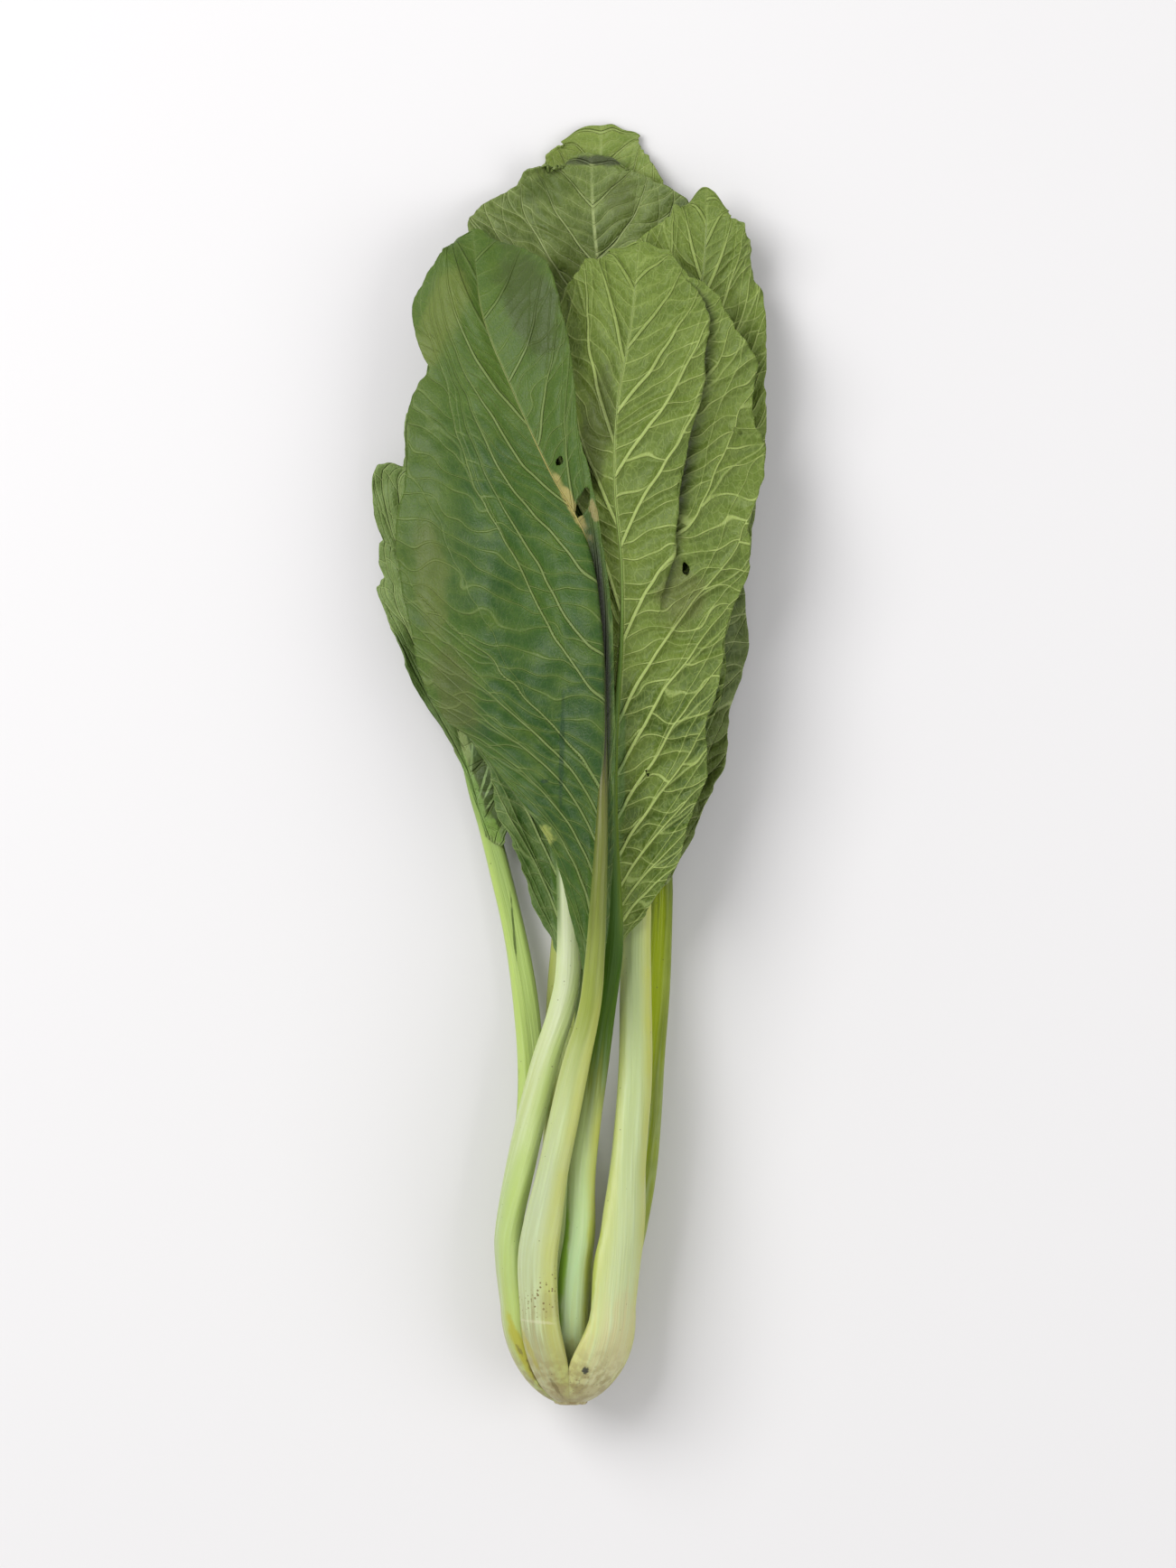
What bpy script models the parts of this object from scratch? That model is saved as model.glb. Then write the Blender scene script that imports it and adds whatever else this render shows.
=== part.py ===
"""A head of choy sum lying on its back: eight leaves round a short crown.

The head lies along Y with its base at -Y and its leaf tips at +Y, and rests on
z = 0. Each leaf is a pale stalk, which runs on as the midrib, and a thin green
blade. Every stalk is a loft along a spine. The blades are laid one on another
from the back leaf to the front leaf, as they lie in a real head, so each one
drapes over those beneath it and none crosses another.

Lengths are in millimetres until a mesh is made, which turns them to metres.
"""

import math

import bmesh
import bpy
import numpy as np

MM = 0.001

# The bulb, where the stalks clasp the crown
BULB_AXIS_Z = 21.0
BULB_SHOULDER_Y = -160.0
BULB_ROUND = 29.0
BASE_THINNEST = 0.12
BASE_RINGS_Y = (-185.5, -182.5, -178.5, -173.5, -167.5)
INNER_BASE_RINGS_Y = (-171.0, -167.5)
BASE_TURN_Y = (-157.0, -171.0)
CUP_RADIUS = 20.0
CUP_FROM_Y = -145.0
CUP_TO_Y = -100.0

# The crown: (y, radius) from its cut end to its top
CROWN_PROFILE = (
    (-189.0, 0.0), (-189.0, 4.6), (-188.2, 5.4), (-186.0, 5.6), (-183.0, 6.4),
    (-180.0, 7.8), (-176.5, 7.6), (-173.5, 5.0), (-171.8, 0.0),
)
CROWN_STEPS = 20

# How the leaves touch
BLADE_THICKNESS = 0.8
RIB_GAP = 0.4
STALK_GAP = 0.5
BLADE_LIFT = 2.0
DRAPE_REACH = 30.0
DRAPE_SOFTNESS = 0.05
RIB_SHOULDER = 1.0
SHEET_MARGIN = 0.15

# The midrib: half width and thickness at the tip of the blade, how fast each falls
# to it, and the share of the blade's length where the midrib ends
RIB_TIP = (0.55, 0.9)
RIB_TAPER = (2.4, 1.7)
RIB_END = 0.94

# Where the ruffles of a blade begin and are full, away from its midrib, and how
# far their waves are shifted between its two sides
RUFFLE_START = (3.0, 22.0)
SIDE_PHASE = 1.7

# Where a fold fades along the blade, and how far across it the blade drops again
FOLD_FADE = (0.82, 0.96)
FOLD_DROP = 0.07

# Leaves that grow on top of the crown, inside the others
INNER_LEAVES = ("leaf_heart", "leaf_front_right")

# The grid that holds the height of the pile, how far it bridges its dips, and where
# the neck ends and the wide blades begin
PILE_X = (-72, 72)
PILE_Y = (-82, 197)
STALK_REACH = 2
NECK_REACH = 4
BLADE_REACH = 10
BLADES_Y = (-45.0, 15.0)

# How a leaf is sampled: along its spine, across and along its blade, and round its
# stalk. The lift of the spine is spread over so many samples to each side.
SPINE_SAMPLES = 600
BLADE_SAMPLES = (181, 330)
STALK_SAMPLES = 40
LIFT_REACH = 30

# How finely the meshes are divided
STALK_SIDES = 10
PETIOLE_RINGS = 8
BLADE_ROWS = 23
TIP_CROWDING = 1.4
BLADE_COLUMNS = (0.0, 0.09, 0.3, 0.55, 0.8, 1.0)

# Every leaf, from the one that lies lowest to the one on top.
# base: the direction that the stalk's base faces round the crown, and how far it
# reaches round the crown to each side, both in degrees.
# petiole rows: x, y, z of the centre, half width, thickness, and the direction
# that the outer side faces, in degrees from +X towards +Z.
# blade rows: x, y, z of the midrib, x, y of the left edge, x, y of the right edge.
# ruffle: height, count and phase of the waves of the edge. lobes: the same for the
# in and out of the edge, as a share of the blade's reach. fold: where it starts and
# is full along the blade, where its line lies across it, and its height.
# outer_up tells whether the underside of the blade, with its midrib, faces up.
LEAVES = (
    dict(
        name="leaf_back", outer_up=False, base=(263, 29), rib=(4.4, 5.4),
        ruffle=(4.0, 3.5, 0.4), lobes=(0.035, 6.0, 0.2),
        petiole=(
            (-1.5, -160.0, 3.1, 8.4, 7.4, 266), (-1.5, -147.7, 2.9, 8.0, 7.4, 268),
            (-1.5, -137.0, 2.9, 7.4, 7.2, 270), (-2.0, -118.6, 2.9, 6.4, 7.0, 270),
            (-2.5, -89.4, 2.8, 5.4, 6.6, 270), (-2.0, -68.0, 2.5, 4.8, 6.0, 270),
        ),
        blade=(
            (-1.0, -48.0, 2.3, -4.0, -46.0, 2.0, -46.0),
            (0.4, -22.0, 2.0, -16.0, -16.0, 16.0, -16.0),
            (1.2, 4.0, 1.7, -28.0, 14.0, 28.0, 14.0),
            (2.0, 32.0, 1.4, -36.0, 46.0, 38.0, 46.0),
            (3.0, 60.0, 1.1, -40.0, 78.0, 44.0, 78.0),
            (4.0, 90.0, 0.9, -39.0, 108.0, 46.0, 108.0),
            (5.5, 118.0, 0.7, -33.0, 137.0, 43.0, 137.0),
            (7.0, 145.0, 0.6, -21.0, 161.0, 34.0, 161.0),
            (8.3, 170.0, 0.5, -6.0, 179.5, 22.0, 179.5),
            (9.0, 189.0, 0.5, 9.0, 189.0, 9.0, 189.0),
        ),
    ),
    dict(
        name="leaf_back_right", outer_up=False, base=(322, 25), rib=(4.1, 5.6),
        ruffle=(5.0, 4.5, 1.9), lobes=(0.040, 7.0, 1.1),
        petiole=(
            (13.6, -160.0, 10.4, 7.4, 6.6, 322), (15.2, -147.7, 10.6, 6.8, 6.8, 318),
            (17.6, -137.0, 10.8, 6.0, 6.8, 312), (20.8, -118.6, 11.0, 5.0, 6.6, 300),
            (23.0, -89.4, 11.0, 4.6, 6.4, 284), (25.0, -62.0, 10.0, 4.4, 6.2, 272),
        ),
        blade=(
            (26.0, -38.0, 8.1, 24.0, -36.0, 28.6, -36.0),
            (25.5, -14.0, 8.9, 10.0, -8.0, 41.0, -12.0),
            (24.0, 10.0, 8.2, -4.0, 20.0, 48.0, 14.0),
            (21.5, 36.0, 7.8, -16.0, 52.0, 52.0, 44.0),
            (18.5, 64.0, 7.0, -25.0, 84.0, 53.0, 76.0),
            (15.0, 92.0, 6.2, -31.0, 114.0, 53.0, 106.0),
            (11.5, 118.0, 5.6, -33.0, 142.0, 50.5, 134.0),
            (8.5, 142.0, 5.5, -27.0, 162.0, 43.0, 156.0),
            (6.5, 162.0, 5.5, -13.0, 174.0, 26.0, 171.0),
            (6.0, 180.0, 5.0, 6.0, 180.0, 6.0, 180.0),
        ),
    ),
    dict(
        name="leaf_far_left", outer_up=False, base=(212, 16), rib=(3.1, 4.8),
        ruffle=(4.5, 3.5, 2.6), lobes=(0.060, 6.0, 2.4),
        petiole=(
            (-16.6, -160.0, 11.5, 5.0, 6.0, 212), (-18.0, -147.7, 12.0, 4.6, 6.0, 208),
            (-17.6, -137.0, 12.5, 4.2, 6.0, 210), (-14.4, -118.6, 12.5, 3.9, 6.0, 222),
            (-11.8, -96.0, 11.5, 3.8, 5.8, 240), (-13.0, -73.5, 10.0, 3.7, 5.6, 258),
            (-17.0, -49.0, 8.5, 3.4, 5.2, 268),
        ),
        blade=(
            (-23.2, -24.0, 8.1, -25.4, -22.0, -20.5, -25.0),
            (-28.3, -8.0, 9.2, -32.0, -1.0, -12.0, -10.0),
            (-32.5, 8.0, 9.0, -43.5, 18.0, -5.0, 10.0),
            (-36.5, 26.0, 8.0, -54.0, 40.0, -3.0, 32.0),
            (-40.0, 46.0, 6.5, -57.5, 60.0, -4.0, 54.0),
            (-42.5, 66.0, 7.0, -57.5, 84.0, -8.0, 78.0),
            (-43.0, 86.0, 8.6, -53.0, 103.0, -15.0, 100.0),
            (-41.5, 105.0, 9.6, -47.0, 118.0, -25.0, 117.0),
            (-38.0, 126.0, 9.6, -38.0, 126.0, -38.0, 126.0),
        ),
    ),
    dict(
        name="leaf_heart", outer_up=False, base=(262, 30), rib=(3.1, 4.6),
        ruffle=(2.0, 2.0, 0.9), lobes=(0.030, 4.0, 0.5),
        petiole=(
            (-0.5, -160.0, 14.5, 4.0, 5.4, 262), (0.0, -147.7, 15.0, 4.0, 5.4, 264),
            (0.8, -137.0, 15.5, 3.9, 5.4, 266), (1.8, -118.6, 15.8, 3.7, 5.4, 268),
            (3.6, -89.4, 14.5, 3.5, 5.2, 270), (4.4, -73.5, 13.8, 3.3, 5.0, 270),
        ),
        blade=(
            (4.8, -62.0, 13.2, 2.4, -61.0, 7.0, -61.0),
            (5.0, -40.0, 13.6, -6.0, -35.0, 14.0, -37.0),
            (5.0, -18.0, 15.5, -15.0, -8.0, 19.0, -12.0),
            (4.2, 6.0, 17.0, -19.0, 18.0, 22.0, 14.0),
            (3.0, 30.0, 17.6, -21.0, 44.0, 22.0, 40.0),
            (1.0, 54.0, 17.6, -19.0, 67.0, 18.0, 64.0),
            (-1.0, 76.0, 16.2, -13.0, 87.0, 9.0, 84.0),
            (-2.5, 98.0, 13.6, -2.5, 98.0, -2.5, 98.0),
        ),
    ),
    dict(
        name="leaf_left", outer_up=True, base=(167, 23), rib=(3.5, 5.4),
        ruffle=(3.0, 3.5, 1.2), lobes=(0.050, 7.0, 0.0),
        petiole=(
            (-17.1, -160.0, 24.5, 7.6, 6.8, 168), (-18.3, -147.7, 25.0, 7.2, 7.0, 166),
            (-18.3, -137.0, 25.5, 6.4, 7.0, 160), (-14.7, -118.6, 26.5, 5.4, 7.0, 145),
            (-7.7, -89.4, 26.0, 4.4, 6.6, 120), (-2.8, -73.5, 25.0, 4.0, 6.2, 105),
        ),
        blade=(
            (-0.9, -60.0, 24.6, -3.6, -58.0, 1.6, -58.0),
            (-1.6, -36.0, 24.6, -15.0, -30.0, 6.0, -30.0),
            (-4.0, -12.0, 25.2, -25.0, -4.0, 11.0, -4.0),
            (-8.0, 14.0, 25.8, -35.0, 24.0, 14.0, 22.0),
            (-12.0, 40.0, 26.0, -42.0, 52.0, 13.0, 48.0),
            (-16.0, 64.0, 25.2, -43.0, 79.0, 11.0, 74.0),
            (-19.5, 88.0, 23.0, -40.0, 103.0, 3.0, 98.0),
            (-22.0, 108.0, 19.8, -33.0, 121.0, -8.0, 118.0),
            (-24.0, 130.0, 16.5, -24.0, 130.0, -24.0, 130.0),
        ),
    ),
    dict(
        name="leaf_right", outer_up=True, base=(40, 48), rib=(4.2, 6.0),
        ruffle=(5.0, 4.5, 0.3), lobes=(0.040, 7.0, 1.7),
        petiole=(
            (13.4, -160.0, 32.6, 9.2, 6.8, 41), (14.4, -147.7, 32.8, 9.4, 7.2, 42),
            (15.6, -137.0, 32.8, 7.8, 7.2, 49), (16.8, -118.6, 31.0, 5.6, 7.0, 62),
            (18.8, -89.4, 27.5, 5.0, 6.8, 76), (19.1, -66.0, 25.2, 4.6, 6.4, 86),
        ),
        blade=(
            (19.4, -45.0, 26.0, 16.5, -43.0, 22.0, -43.0),
            (20.5, -22.0, 28.5, 8.0, -16.0, 33.0, -20.0),
            (22.5, 2.0, 29.0, 2.0, 12.0, 40.0, 6.0),
            (25.0, 28.0, 28.2, -2.0, 42.0, 46.0, 34.0),
            (28.0, 54.0, 26.6, -2.0, 72.0, 52.0, 62.0),
            (31.0, 80.0, 22.5, 1.0, 100.0, 56.5, 92.0),
            (34.0, 106.0, 17.5, 8.0, 127.0, 57.5, 120.0),
            (37.0, 130.0, 14.8, 18.0, 150.0, 54.5, 145.0),
            (39.5, 150.0, 13.6, 30.0, 163.0, 49.0, 160.0),
            (40.0, 168.0, 12.0, 40.0, 168.0, 40.0, 168.0),
        ),
    ),
    dict(
        name="leaf_front_right", outer_up=True, base=(84, 26), rib=(3.8, 5.6),
        ruffle=(4.5, 4.5, 2.2), lobes=(0.030, 8.0, 0.6),
        fold=((0.45, 0.72), (0.36, 0.68), 4.0),
        petiole=(
            (0.6, -160.0, 30.4, 4.4, 6.4, 84), (1.3, -147.7, 31.0, 4.4, 6.6, 84),
            (2.7, -137.0, 31.0, 4.3, 6.6, 84), (3.4, -118.6, 30.4, 4.0, 6.6, 86),
            (6.9, -89.4, 29.4, 4.0, 6.4, 88), (9.0, -73.5, 30.6, 4.0, 6.0, 90),
        ),
        blade=(
            (11.4, -57.0, 32.2, 9.4, -56.0, 14.0, -54.0),
            (12.1, -40.0, 35.5, 5.0, -33.0, 26.0, -39.0),
            (11.8, -17.0, 37.5, -8.0, -6.0, 36.0, -16.0),
            (12.6, 6.0, 37.8, -17.0, 22.0, 40.5, 10.0),
            (14.6, 32.0, 36.8, -21.0, 50.0, 45.5, 36.0),
            (14.8, 57.0, 35.2, -21.0, 78.0, 52.5, 63.0),
            (12.8, 80.0, 33.6, -18.0, 104.0, 55.5, 92.0),
            (13.5, 103.0, 31.0, -11.0, 128.0, 52.0, 120.0),
            (17.5, 127.0, 26.5, 2.0, 144.0, 42.0, 137.0),
            (20.0, 152.0, 18.5, 20.0, 152.0, 20.0, 152.0),
        ),
    ),
    dict(
        name="leaf_front_left", outer_up=True, base=(116, 25), rib=(3.1, 5.2),
        ruffle=(4.0, 3.5, 0.0), lobes=(0.020, 7.0, 1.3),
        petiole=(
            (-9.2, -160.0, 36.4, 6.2, 6.8, 120), (-9.8, -147.7, 37.2, 6.3, 7.0, 118),
            (-8.7, -137.0, 37.6, 6.0, 7.0, 113), (-5.0, -118.6, 38.0, 4.5, 7.0, 105),
            (1.3, -89.4, 38.0, 4.2, 6.6, 96), (4.8, -76.0, 38.8, 3.4, 6.2, 92),
        ),
        blade=(
            (6.6, -64.0, 40.2, 4.0, -63.0, 9.2, -62.0),
            (8.2, -38.0, 43.0, -5.0, -27.0, 12.2, -34.0),
            (9.2, -15.0, 44.6, -22.0, -2.0, 12.8, -8.0),
            (9.6, 12.0, 44.8, -38.5, 20.0, 12.8, 18.0),
            (8.7, 38.0, 43.4, -47.0, 52.0, 11.8, 44.0),
            (4.6, 64.0, 41.2, -49.0, 82.0, 8.2, 70.0),
            (-6.5, 85.0, 38.6, -47.5, 112.0, 2.2, 98.0),
            (-17.0, 108.0, 34.6, -46.0, 133.0, -1.5, 128.0),
            (-26.0, 131.0, 28.0, -39.0, 148.0, -9.0, 148.0),
            (-29.0, 156.0, 19.0, -29.0, 156.0, -29.0, 156.0),
        ),
    ),
)

# Base colours from the photo, linear
COLOURS = {
    "stalk": (0.56, 0.64, 0.36, 1.0),
    "blade": (0.13, 0.20, 0.05, 1.0),
    "crown": (0.52, 0.50, 0.30, 1.0),
}


def smooth_step(low, high, value):
    """0 below low, 1 above high, and smooth between."""
    t = np.clip((value - low) / (high - low), 0.0, 1.0)
    return t * t * (3.0 - 2.0 * t)


def through(rows, t):
    """A smooth curve (Catmull-Rom) through rows of numbers, at t counted in rows."""
    rows = np.asarray(rows, float)
    t = np.clip(np.atleast_1d(t), 0.0, len(rows) - 1.0)
    i = np.minimum(t.astype(int), len(rows) - 2)
    f = (t - i)[:, None]
    before, last = np.maximum(i - 1, 0), len(rows) - 1
    p0, p1, p2, p3 = rows[before], rows[i], rows[i + 1], rows[np.minimum(i + 2, last)]
    return 0.5 * (
        2.0 * p1
        + (p2 - p0) * f
        + (2.0 * p0 - 5.0 * p1 + 4.0 * p2 - p3) * f**2
        + (3.0 * p1 - p0 - 3.0 * p2 + p3) * f**3
    )


def shifted(values, step, axis):
    """The values moved along an axis, with the end value repeated."""
    index = np.clip(np.arange(values.shape[axis]) - step, 0, values.shape[axis] - 1)
    return np.take(values, index, axis=axis)


def bridge(values, reach, axis):
    """Smooths values along an axis and never goes below them: the highest value
    within reach, then twice the average over half of it."""
    steps = range(-reach, reach + 1)
    high = np.max([shifted(values, s, axis) for s in steps], axis=0)
    half = range(-(reach // 2), reach // 2 + 1)
    for _ in range(2):
        high = np.mean([shifted(high, s, axis) for s in half], axis=0)
    return high


class Pile:
    """The height of everything laid so far, on a grid of 1 mm."""

    def __init__(self):
        size = (PILE_Y[1] - PILE_Y[0] + 1, PILE_X[1] - PILE_X[0] + 1)
        bare = BLADE_THICKNESS / 2.0 - BLADE_LIFT
        self.top = np.full(size, bare)

    def add(self, x, y, z):
        """Raises the pile to the points of a leaf that was laid on it."""
        column = np.clip(np.rint(x - PILE_X[0]).astype(int), 0, self.top.shape[1] - 1)
        row = np.rint(y - PILE_Y[0]).astype(int)
        inside = (row >= 0) & (row < self.top.shape[0])
        np.maximum.at(self.top, (row[inside], column[inside]), z[inside])

    def spread(self):
        """The surface that the next leaf can lie on: close to the stalks in the
        neck, and bridging the dips where the blades are wide."""
        near = bridge(bridge(self.top, NECK_REACH, 0), NECK_REACH, 1)
        wide = bridge(bridge(self.top, BLADE_REACH, 0), BLADE_REACH, 1)
        y = np.arange(PILE_Y[0], PILE_Y[1] + 1)[:, None]
        return near + (wide - near) * smooth_step(*BLADES_Y, y)


def height(field, x, y):
    """The height of a field at x, y, read between its grid points."""
    u = np.clip(x - PILE_X[0], 0.0, field.shape[1] - 1.001)
    v = np.clip(y - PILE_Y[0], 0.0, field.shape[0] - 1.001)
    i, j = u.astype(int), v.astype(int)
    fu, fv = u - i, v - j
    low = field[j, i] * (1.0 - fu) + field[j, i + 1] * fu
    high = field[j + 1, i] * (1.0 - fu) + field[j + 1, i + 1] * fu
    return low * (1.0 - fv) + high * fv


class Leaf:
    """One leaf laid on the pile: its spine from base to tip, and its blade."""

    def __init__(self, plan, pile):
        self.plan = plan
        self.blade = np.array(plan["blade"], float)
        self.petiole = len(plan["petiole"])
        self.last = self.petiole + len(self.blade) - 1
        self.side = 1.0 if plan["outer_up"] else -1.0
        self.field = pile.spread()
        self.close = bridge(bridge(pile.top, STALK_REACH, 0), STALK_REACH, 1)
        self.t = np.linspace(0.0, self.last, SPINE_SAMPLES)
        self.spine = self.spine_rows()
        self.settle()
        self.join(pile)

    def blade_share(self, t):
        """How far along the blade t is: 0 at its base and 1 at its tip."""
        return np.clip((t - self.petiole) / (self.last - self.petiole), 0.0, 1.0)

    def spine_rows(self):
        """x, y, z, half width, thickness and facing all along the leaf."""
        facing = 90.0 if self.plan["outer_up"] else 270.0
        width, thickness = self.plan["rib"]
        rows = list(self.plan["petiole"])
        for x, y, z, *edges in self.plan["blade"]:
            rows.append((x, y, z, width, thickness, facing))
        spine = through(rows, self.t)
        on_blade = self.t >= self.petiole
        left = 1.0 - self.blade_share(self.t[on_blade])
        for column, full, tip, taper in zip((3, 4), self.plan["rib"], RIB_TIP, RIB_TAPER):
            spine[on_blade, column] = tip + (full - tip) * left**taper
        return spine

    def settle(self):
        """Lifts the spine until the stalk and the blade lie clear of the pile."""
        x, y, z, width, thickness, _ = self.spine.T
        on_pile = y > PILE_Y[0] + NECK_REACH
        need = self.highest(self.close, x, y, width) + STALK_GAP + thickness / 2.0
        if self.side > 0:
            sheet = self.highest(self.field, x, y, width) + BLADE_LIFT
            sheet += BLADE_THICKNESS / 2.0 + RIB_GAP + thickness / 2.0
            need = np.where(self.t > self.petiole - SHEET_MARGIN, sheet, need)
        lift = np.where(on_pile, np.maximum(need - z, 0.0), 0.0)
        self.spine[:, 2] += bridge(lift, LIFT_REACH, 0)

    def highest(self, field, x, y, width):
        """The highest point of a field across the stalk."""
        reach = width + STALK_GAP
        across = [height(field, x + side * reach, y) for side in (-1, 0, 1)]
        return np.max(across, axis=0)

    def along(self, t):
        """The spine at t, counted in rows."""
        return np.stack([np.interp(t, self.t, c) for c in self.spine.T], axis=-1)

    def sheet(self, u, v):
        """Points of the blade: u from -1 at the left edge to 1 at the right edge,
        v from 0 at its base to 1 at its tip."""
        t = self.petiole + v * (self.last - self.petiole)
        spine = self.along(t)
        edges = through(self.blade[:, 3:], v * (len(self.blade) - 1))
        edge = np.where((u < 0)[:, None], edges[:, :2], edges[:, 2:])
        size, count, phase = self.plan["lobes"]
        turn = 2.0 * math.pi * v
        lobe = 1.0 + size * np.sin(turn * count + phase * np.sign(u)) * np.abs(u) ** 2
        reach = (edge - spine[:, :2]) * (np.abs(u) * lobe)[:, None]
        x, y = spine[:, 0] + reach[:, 0], spine[:, 1] + reach[:, 1]
        away = np.hypot(reach[:, 0], reach[:, 1])
        base = spine[:, 2] - self.side * (
            spine[:, 4] / 2.0 + RIB_GAP + BLADE_THICKNESS / 2.0
        )
        lying = height(self.field, x, y) + BLADE_LIFT
        above = base - lying
        above = 0.5 * (above + np.sqrt(above**2 + DRAPE_SOFTNESS))
        band = np.maximum(away - spine[:, 3] - RIB_SHOULDER, 0.0)
        size, count, phase = self.plan["ruffle"]
        wave = 0.5 + 0.5 * np.sin(turn * count + phase + SIDE_PHASE * np.sign(u))
        z = lying + above * np.exp(-((band / DRAPE_REACH) ** 2))
        z += size * wave * smooth_step(*RUFFLE_START, away) * np.abs(u) ** 2
        if "fold" in self.plan:
            z += self.fold(u, v)
        return x, y, z

    def fold(self, u, v):
        """The step of a fold on the right half: the blade rises up to the line of
        the fold and drops behind it."""
        (first, last), (near, far), rise = self.plan["fold"]
        share = smooth_step(first, last, v) * (1.0 - smooth_step(*FOLD_FADE, v))
        line = near + (far - near) * np.clip((v - first) / (last - first), 0.0, 1.0)
        up = smooth_step(0.1, 1.0, u / line)
        down = 1.0 - smooth_step(line, line + FOLD_DROP, u)
        return rise * share * up * down

    def join(self, pile):
        """Adds the leaf to the pile for the next one to lie on."""
        across, along = BLADE_SAMPLES
        u, v = np.meshgrid(np.linspace(-1.0, 1.0, across), np.linspace(0.0, 1.0, along))
        x, y, z = self.sheet(u.ravel(), v.ravel())
        pile.add(x, y, z + BLADE_THICKNESS / 2.0)
        for angle in np.arange(STALK_SAMPLES) * 2.0 * math.pi / STALK_SAMPLES:
            x, z = section(self.spine, np.array([angle])).reshape(-1, 2).T
            pile.add(x, self.spine[:, 1], z)


def section(rows, angles):
    """The outline of a stalk at each row, as x, z for each angle: rounded on the
    outer side, flatter and slightly hollow on the inner side, and curled round
    the axis of the head where the stalk is wide."""
    x, y, z, width, thickness, facing = (c[:, None] for c in rows.T)
    across, out = np.cos(angles), np.sin(angles)
    full = np.sign(out) * np.abs(out) ** 0.8
    inner = np.where(out < 0.0, 0.82 + 0.18 * across**2, 1.0)
    to_axis = np.hypot(x, z - BULB_AXIS_Z)
    ring = to_axis + (CUP_RADIUS - to_axis) * smooth_step(CUP_FROM_Y, CUP_TO_Y, y)
    face = np.radians(facing)
    turn = face - width * across / ring
    out_by = ring + thickness / 2.0 * full * inner
    px = x - ring * np.cos(face) + out_by * np.cos(turn)
    pz = z - ring * np.sin(face) + out_by * np.sin(turn)
    return np.stack([px, np.maximum(pz, 0.0)], axis=-1)


def base_rows(first, base, rings_y):
    """The rounded base of a stalk, which closes round the crown below its first row
    and turns there to the direction and the spread of the base."""
    x, _, z, width, thickness, _ = first
    z -= BULB_AXIS_Z
    radius, angle = math.hypot(x, z), math.degrees(math.atan2(z, x)) % 360.0
    spread = math.degrees(width / radius)
    rows = []
    for y in rings_y:
        q = math.sqrt(1.0 - ((BULB_SHOULDER_Y - y) / BULB_ROUND) ** 2)
        share = float(smooth_step(-BASE_TURN_Y[0], -BASE_TURN_Y[1], -y))
        facing = angle + (base[0] - angle) * share
        half = math.radians(spread + (base[1] - spread) * share)
        face = math.radians(facing)
        rows.append((radius * q * math.cos(face), y,
                     BULB_AXIS_Z + radius * q * math.sin(face),
                     half * radius * q,
                     thickness * (BASE_THINNEST + (1.0 - BASE_THINNEST) * q * q),
                     facing))
    return rows


def material(name, colour):
    """A plain material in the colour."""
    made = bpy.data.materials.new(name)
    made.use_nodes = True
    shader = made.node_tree.nodes["Principled BSDF"]
    shader.inputs["Base Color"].default_value = colour
    shader.inputs["Roughness"].default_value = 0.45
    shader.inputs["Metallic"].default_value = 0.0
    return made


def add_object(name, shape, collection, finish):
    """Makes a named object of a bmesh in the collection."""
    mesh = bpy.data.meshes.new(name)
    shape.to_mesh(mesh)
    shape.free()
    mesh.materials.append(finish)
    mesh.shade_smooth()
    made = bpy.data.objects.new(name, mesh)
    collection.objects.link(made)
    return made


def row_places():
    """Where the rows of a blade lie along it, closer together towards the tip."""
    return 1.0 - np.linspace(1.0, 0.0, BLADE_ROWS + 1) ** TIP_CROWDING


def make_stalk(leaf, collection, finish):
    """A loft through the sections of a stalk and its midrib."""
    petiole = np.linspace(0.0, leaf.petiole, PETIOLE_RINGS + 1)[:-1]
    rib = row_places()
    rib = leaf.petiole + rib[rib < RIB_END] * (leaf.last - leaf.petiole)
    rows = leaf.along(np.concatenate([petiole, rib]))
    inner = leaf.plan["name"] in INNER_LEAVES
    rings_y = INNER_BASE_RINGS_Y if inner else BASE_RINGS_Y
    rows = np.vstack([base_rows(rows[0], leaf.plan["base"], rings_y), rows])
    angles = np.arange(STALK_SIDES) * 2.0 * math.pi / STALK_SIDES
    outline = section(rows, angles)
    loft = bmesh.new()
    rings = [
        [loft.verts.new((x * MM, row[1] * MM, z * MM)) for x, z in ring]
        for row, ring in zip(rows, outline)
    ]
    for lower, upper in zip(rings, rings[1:]):
        for i in range(STALK_SIDES):
            j = (i + 1) % STALK_SIDES
            loft.faces.new((lower[i], lower[j], upper[j], upper[i]))
    loft.faces.new(rings[0][::-1])
    loft.faces.new(rings[-1])
    bmesh.ops.recalc_face_normals(loft, faces=loft.faces)
    return add_object(leaf.plan["name"] + "_stalk", loft, collection, finish)


def make_blade(leaf, collection, finish):
    """A grid moved to the leaf's surface, with a Solidify modifier."""
    columns = [-c for c in BLADE_COLUMNS[:0:-1]] + list(BLADE_COLUMNS)
    places = row_places()
    grid = bmesh.new()
    bmesh.ops.create_grid(
        grid, x_segments=len(columns) - 1, y_segments=BLADE_ROWS, size=1.0
    )
    for vert in grid.verts:
        column = round((vert.co.x + 1.0) / 2.0 * (len(columns) - 1))
        row = round((vert.co.y + 1.0) / 2.0 * BLADE_ROWS)
        x, y, z = leaf.sheet(np.array([columns[column]]), places[row:row + 1])
        vert.co = (x[0] * MM, y[0] * MM, z[0] * MM)
    bmesh.ops.remove_doubles(grid, verts=grid.verts, dist=1e-6)
    bmesh.ops.triangulate(grid, faces=grid.faces)
    made = add_object(leaf.plan["name"] + "_blade", grid, collection, finish)
    solid = made.modifiers.new("thickness", "SOLIDIFY")
    solid.thickness = BLADE_THICKNESS * MM
    solid.offset = 0.0
    return made


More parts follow.
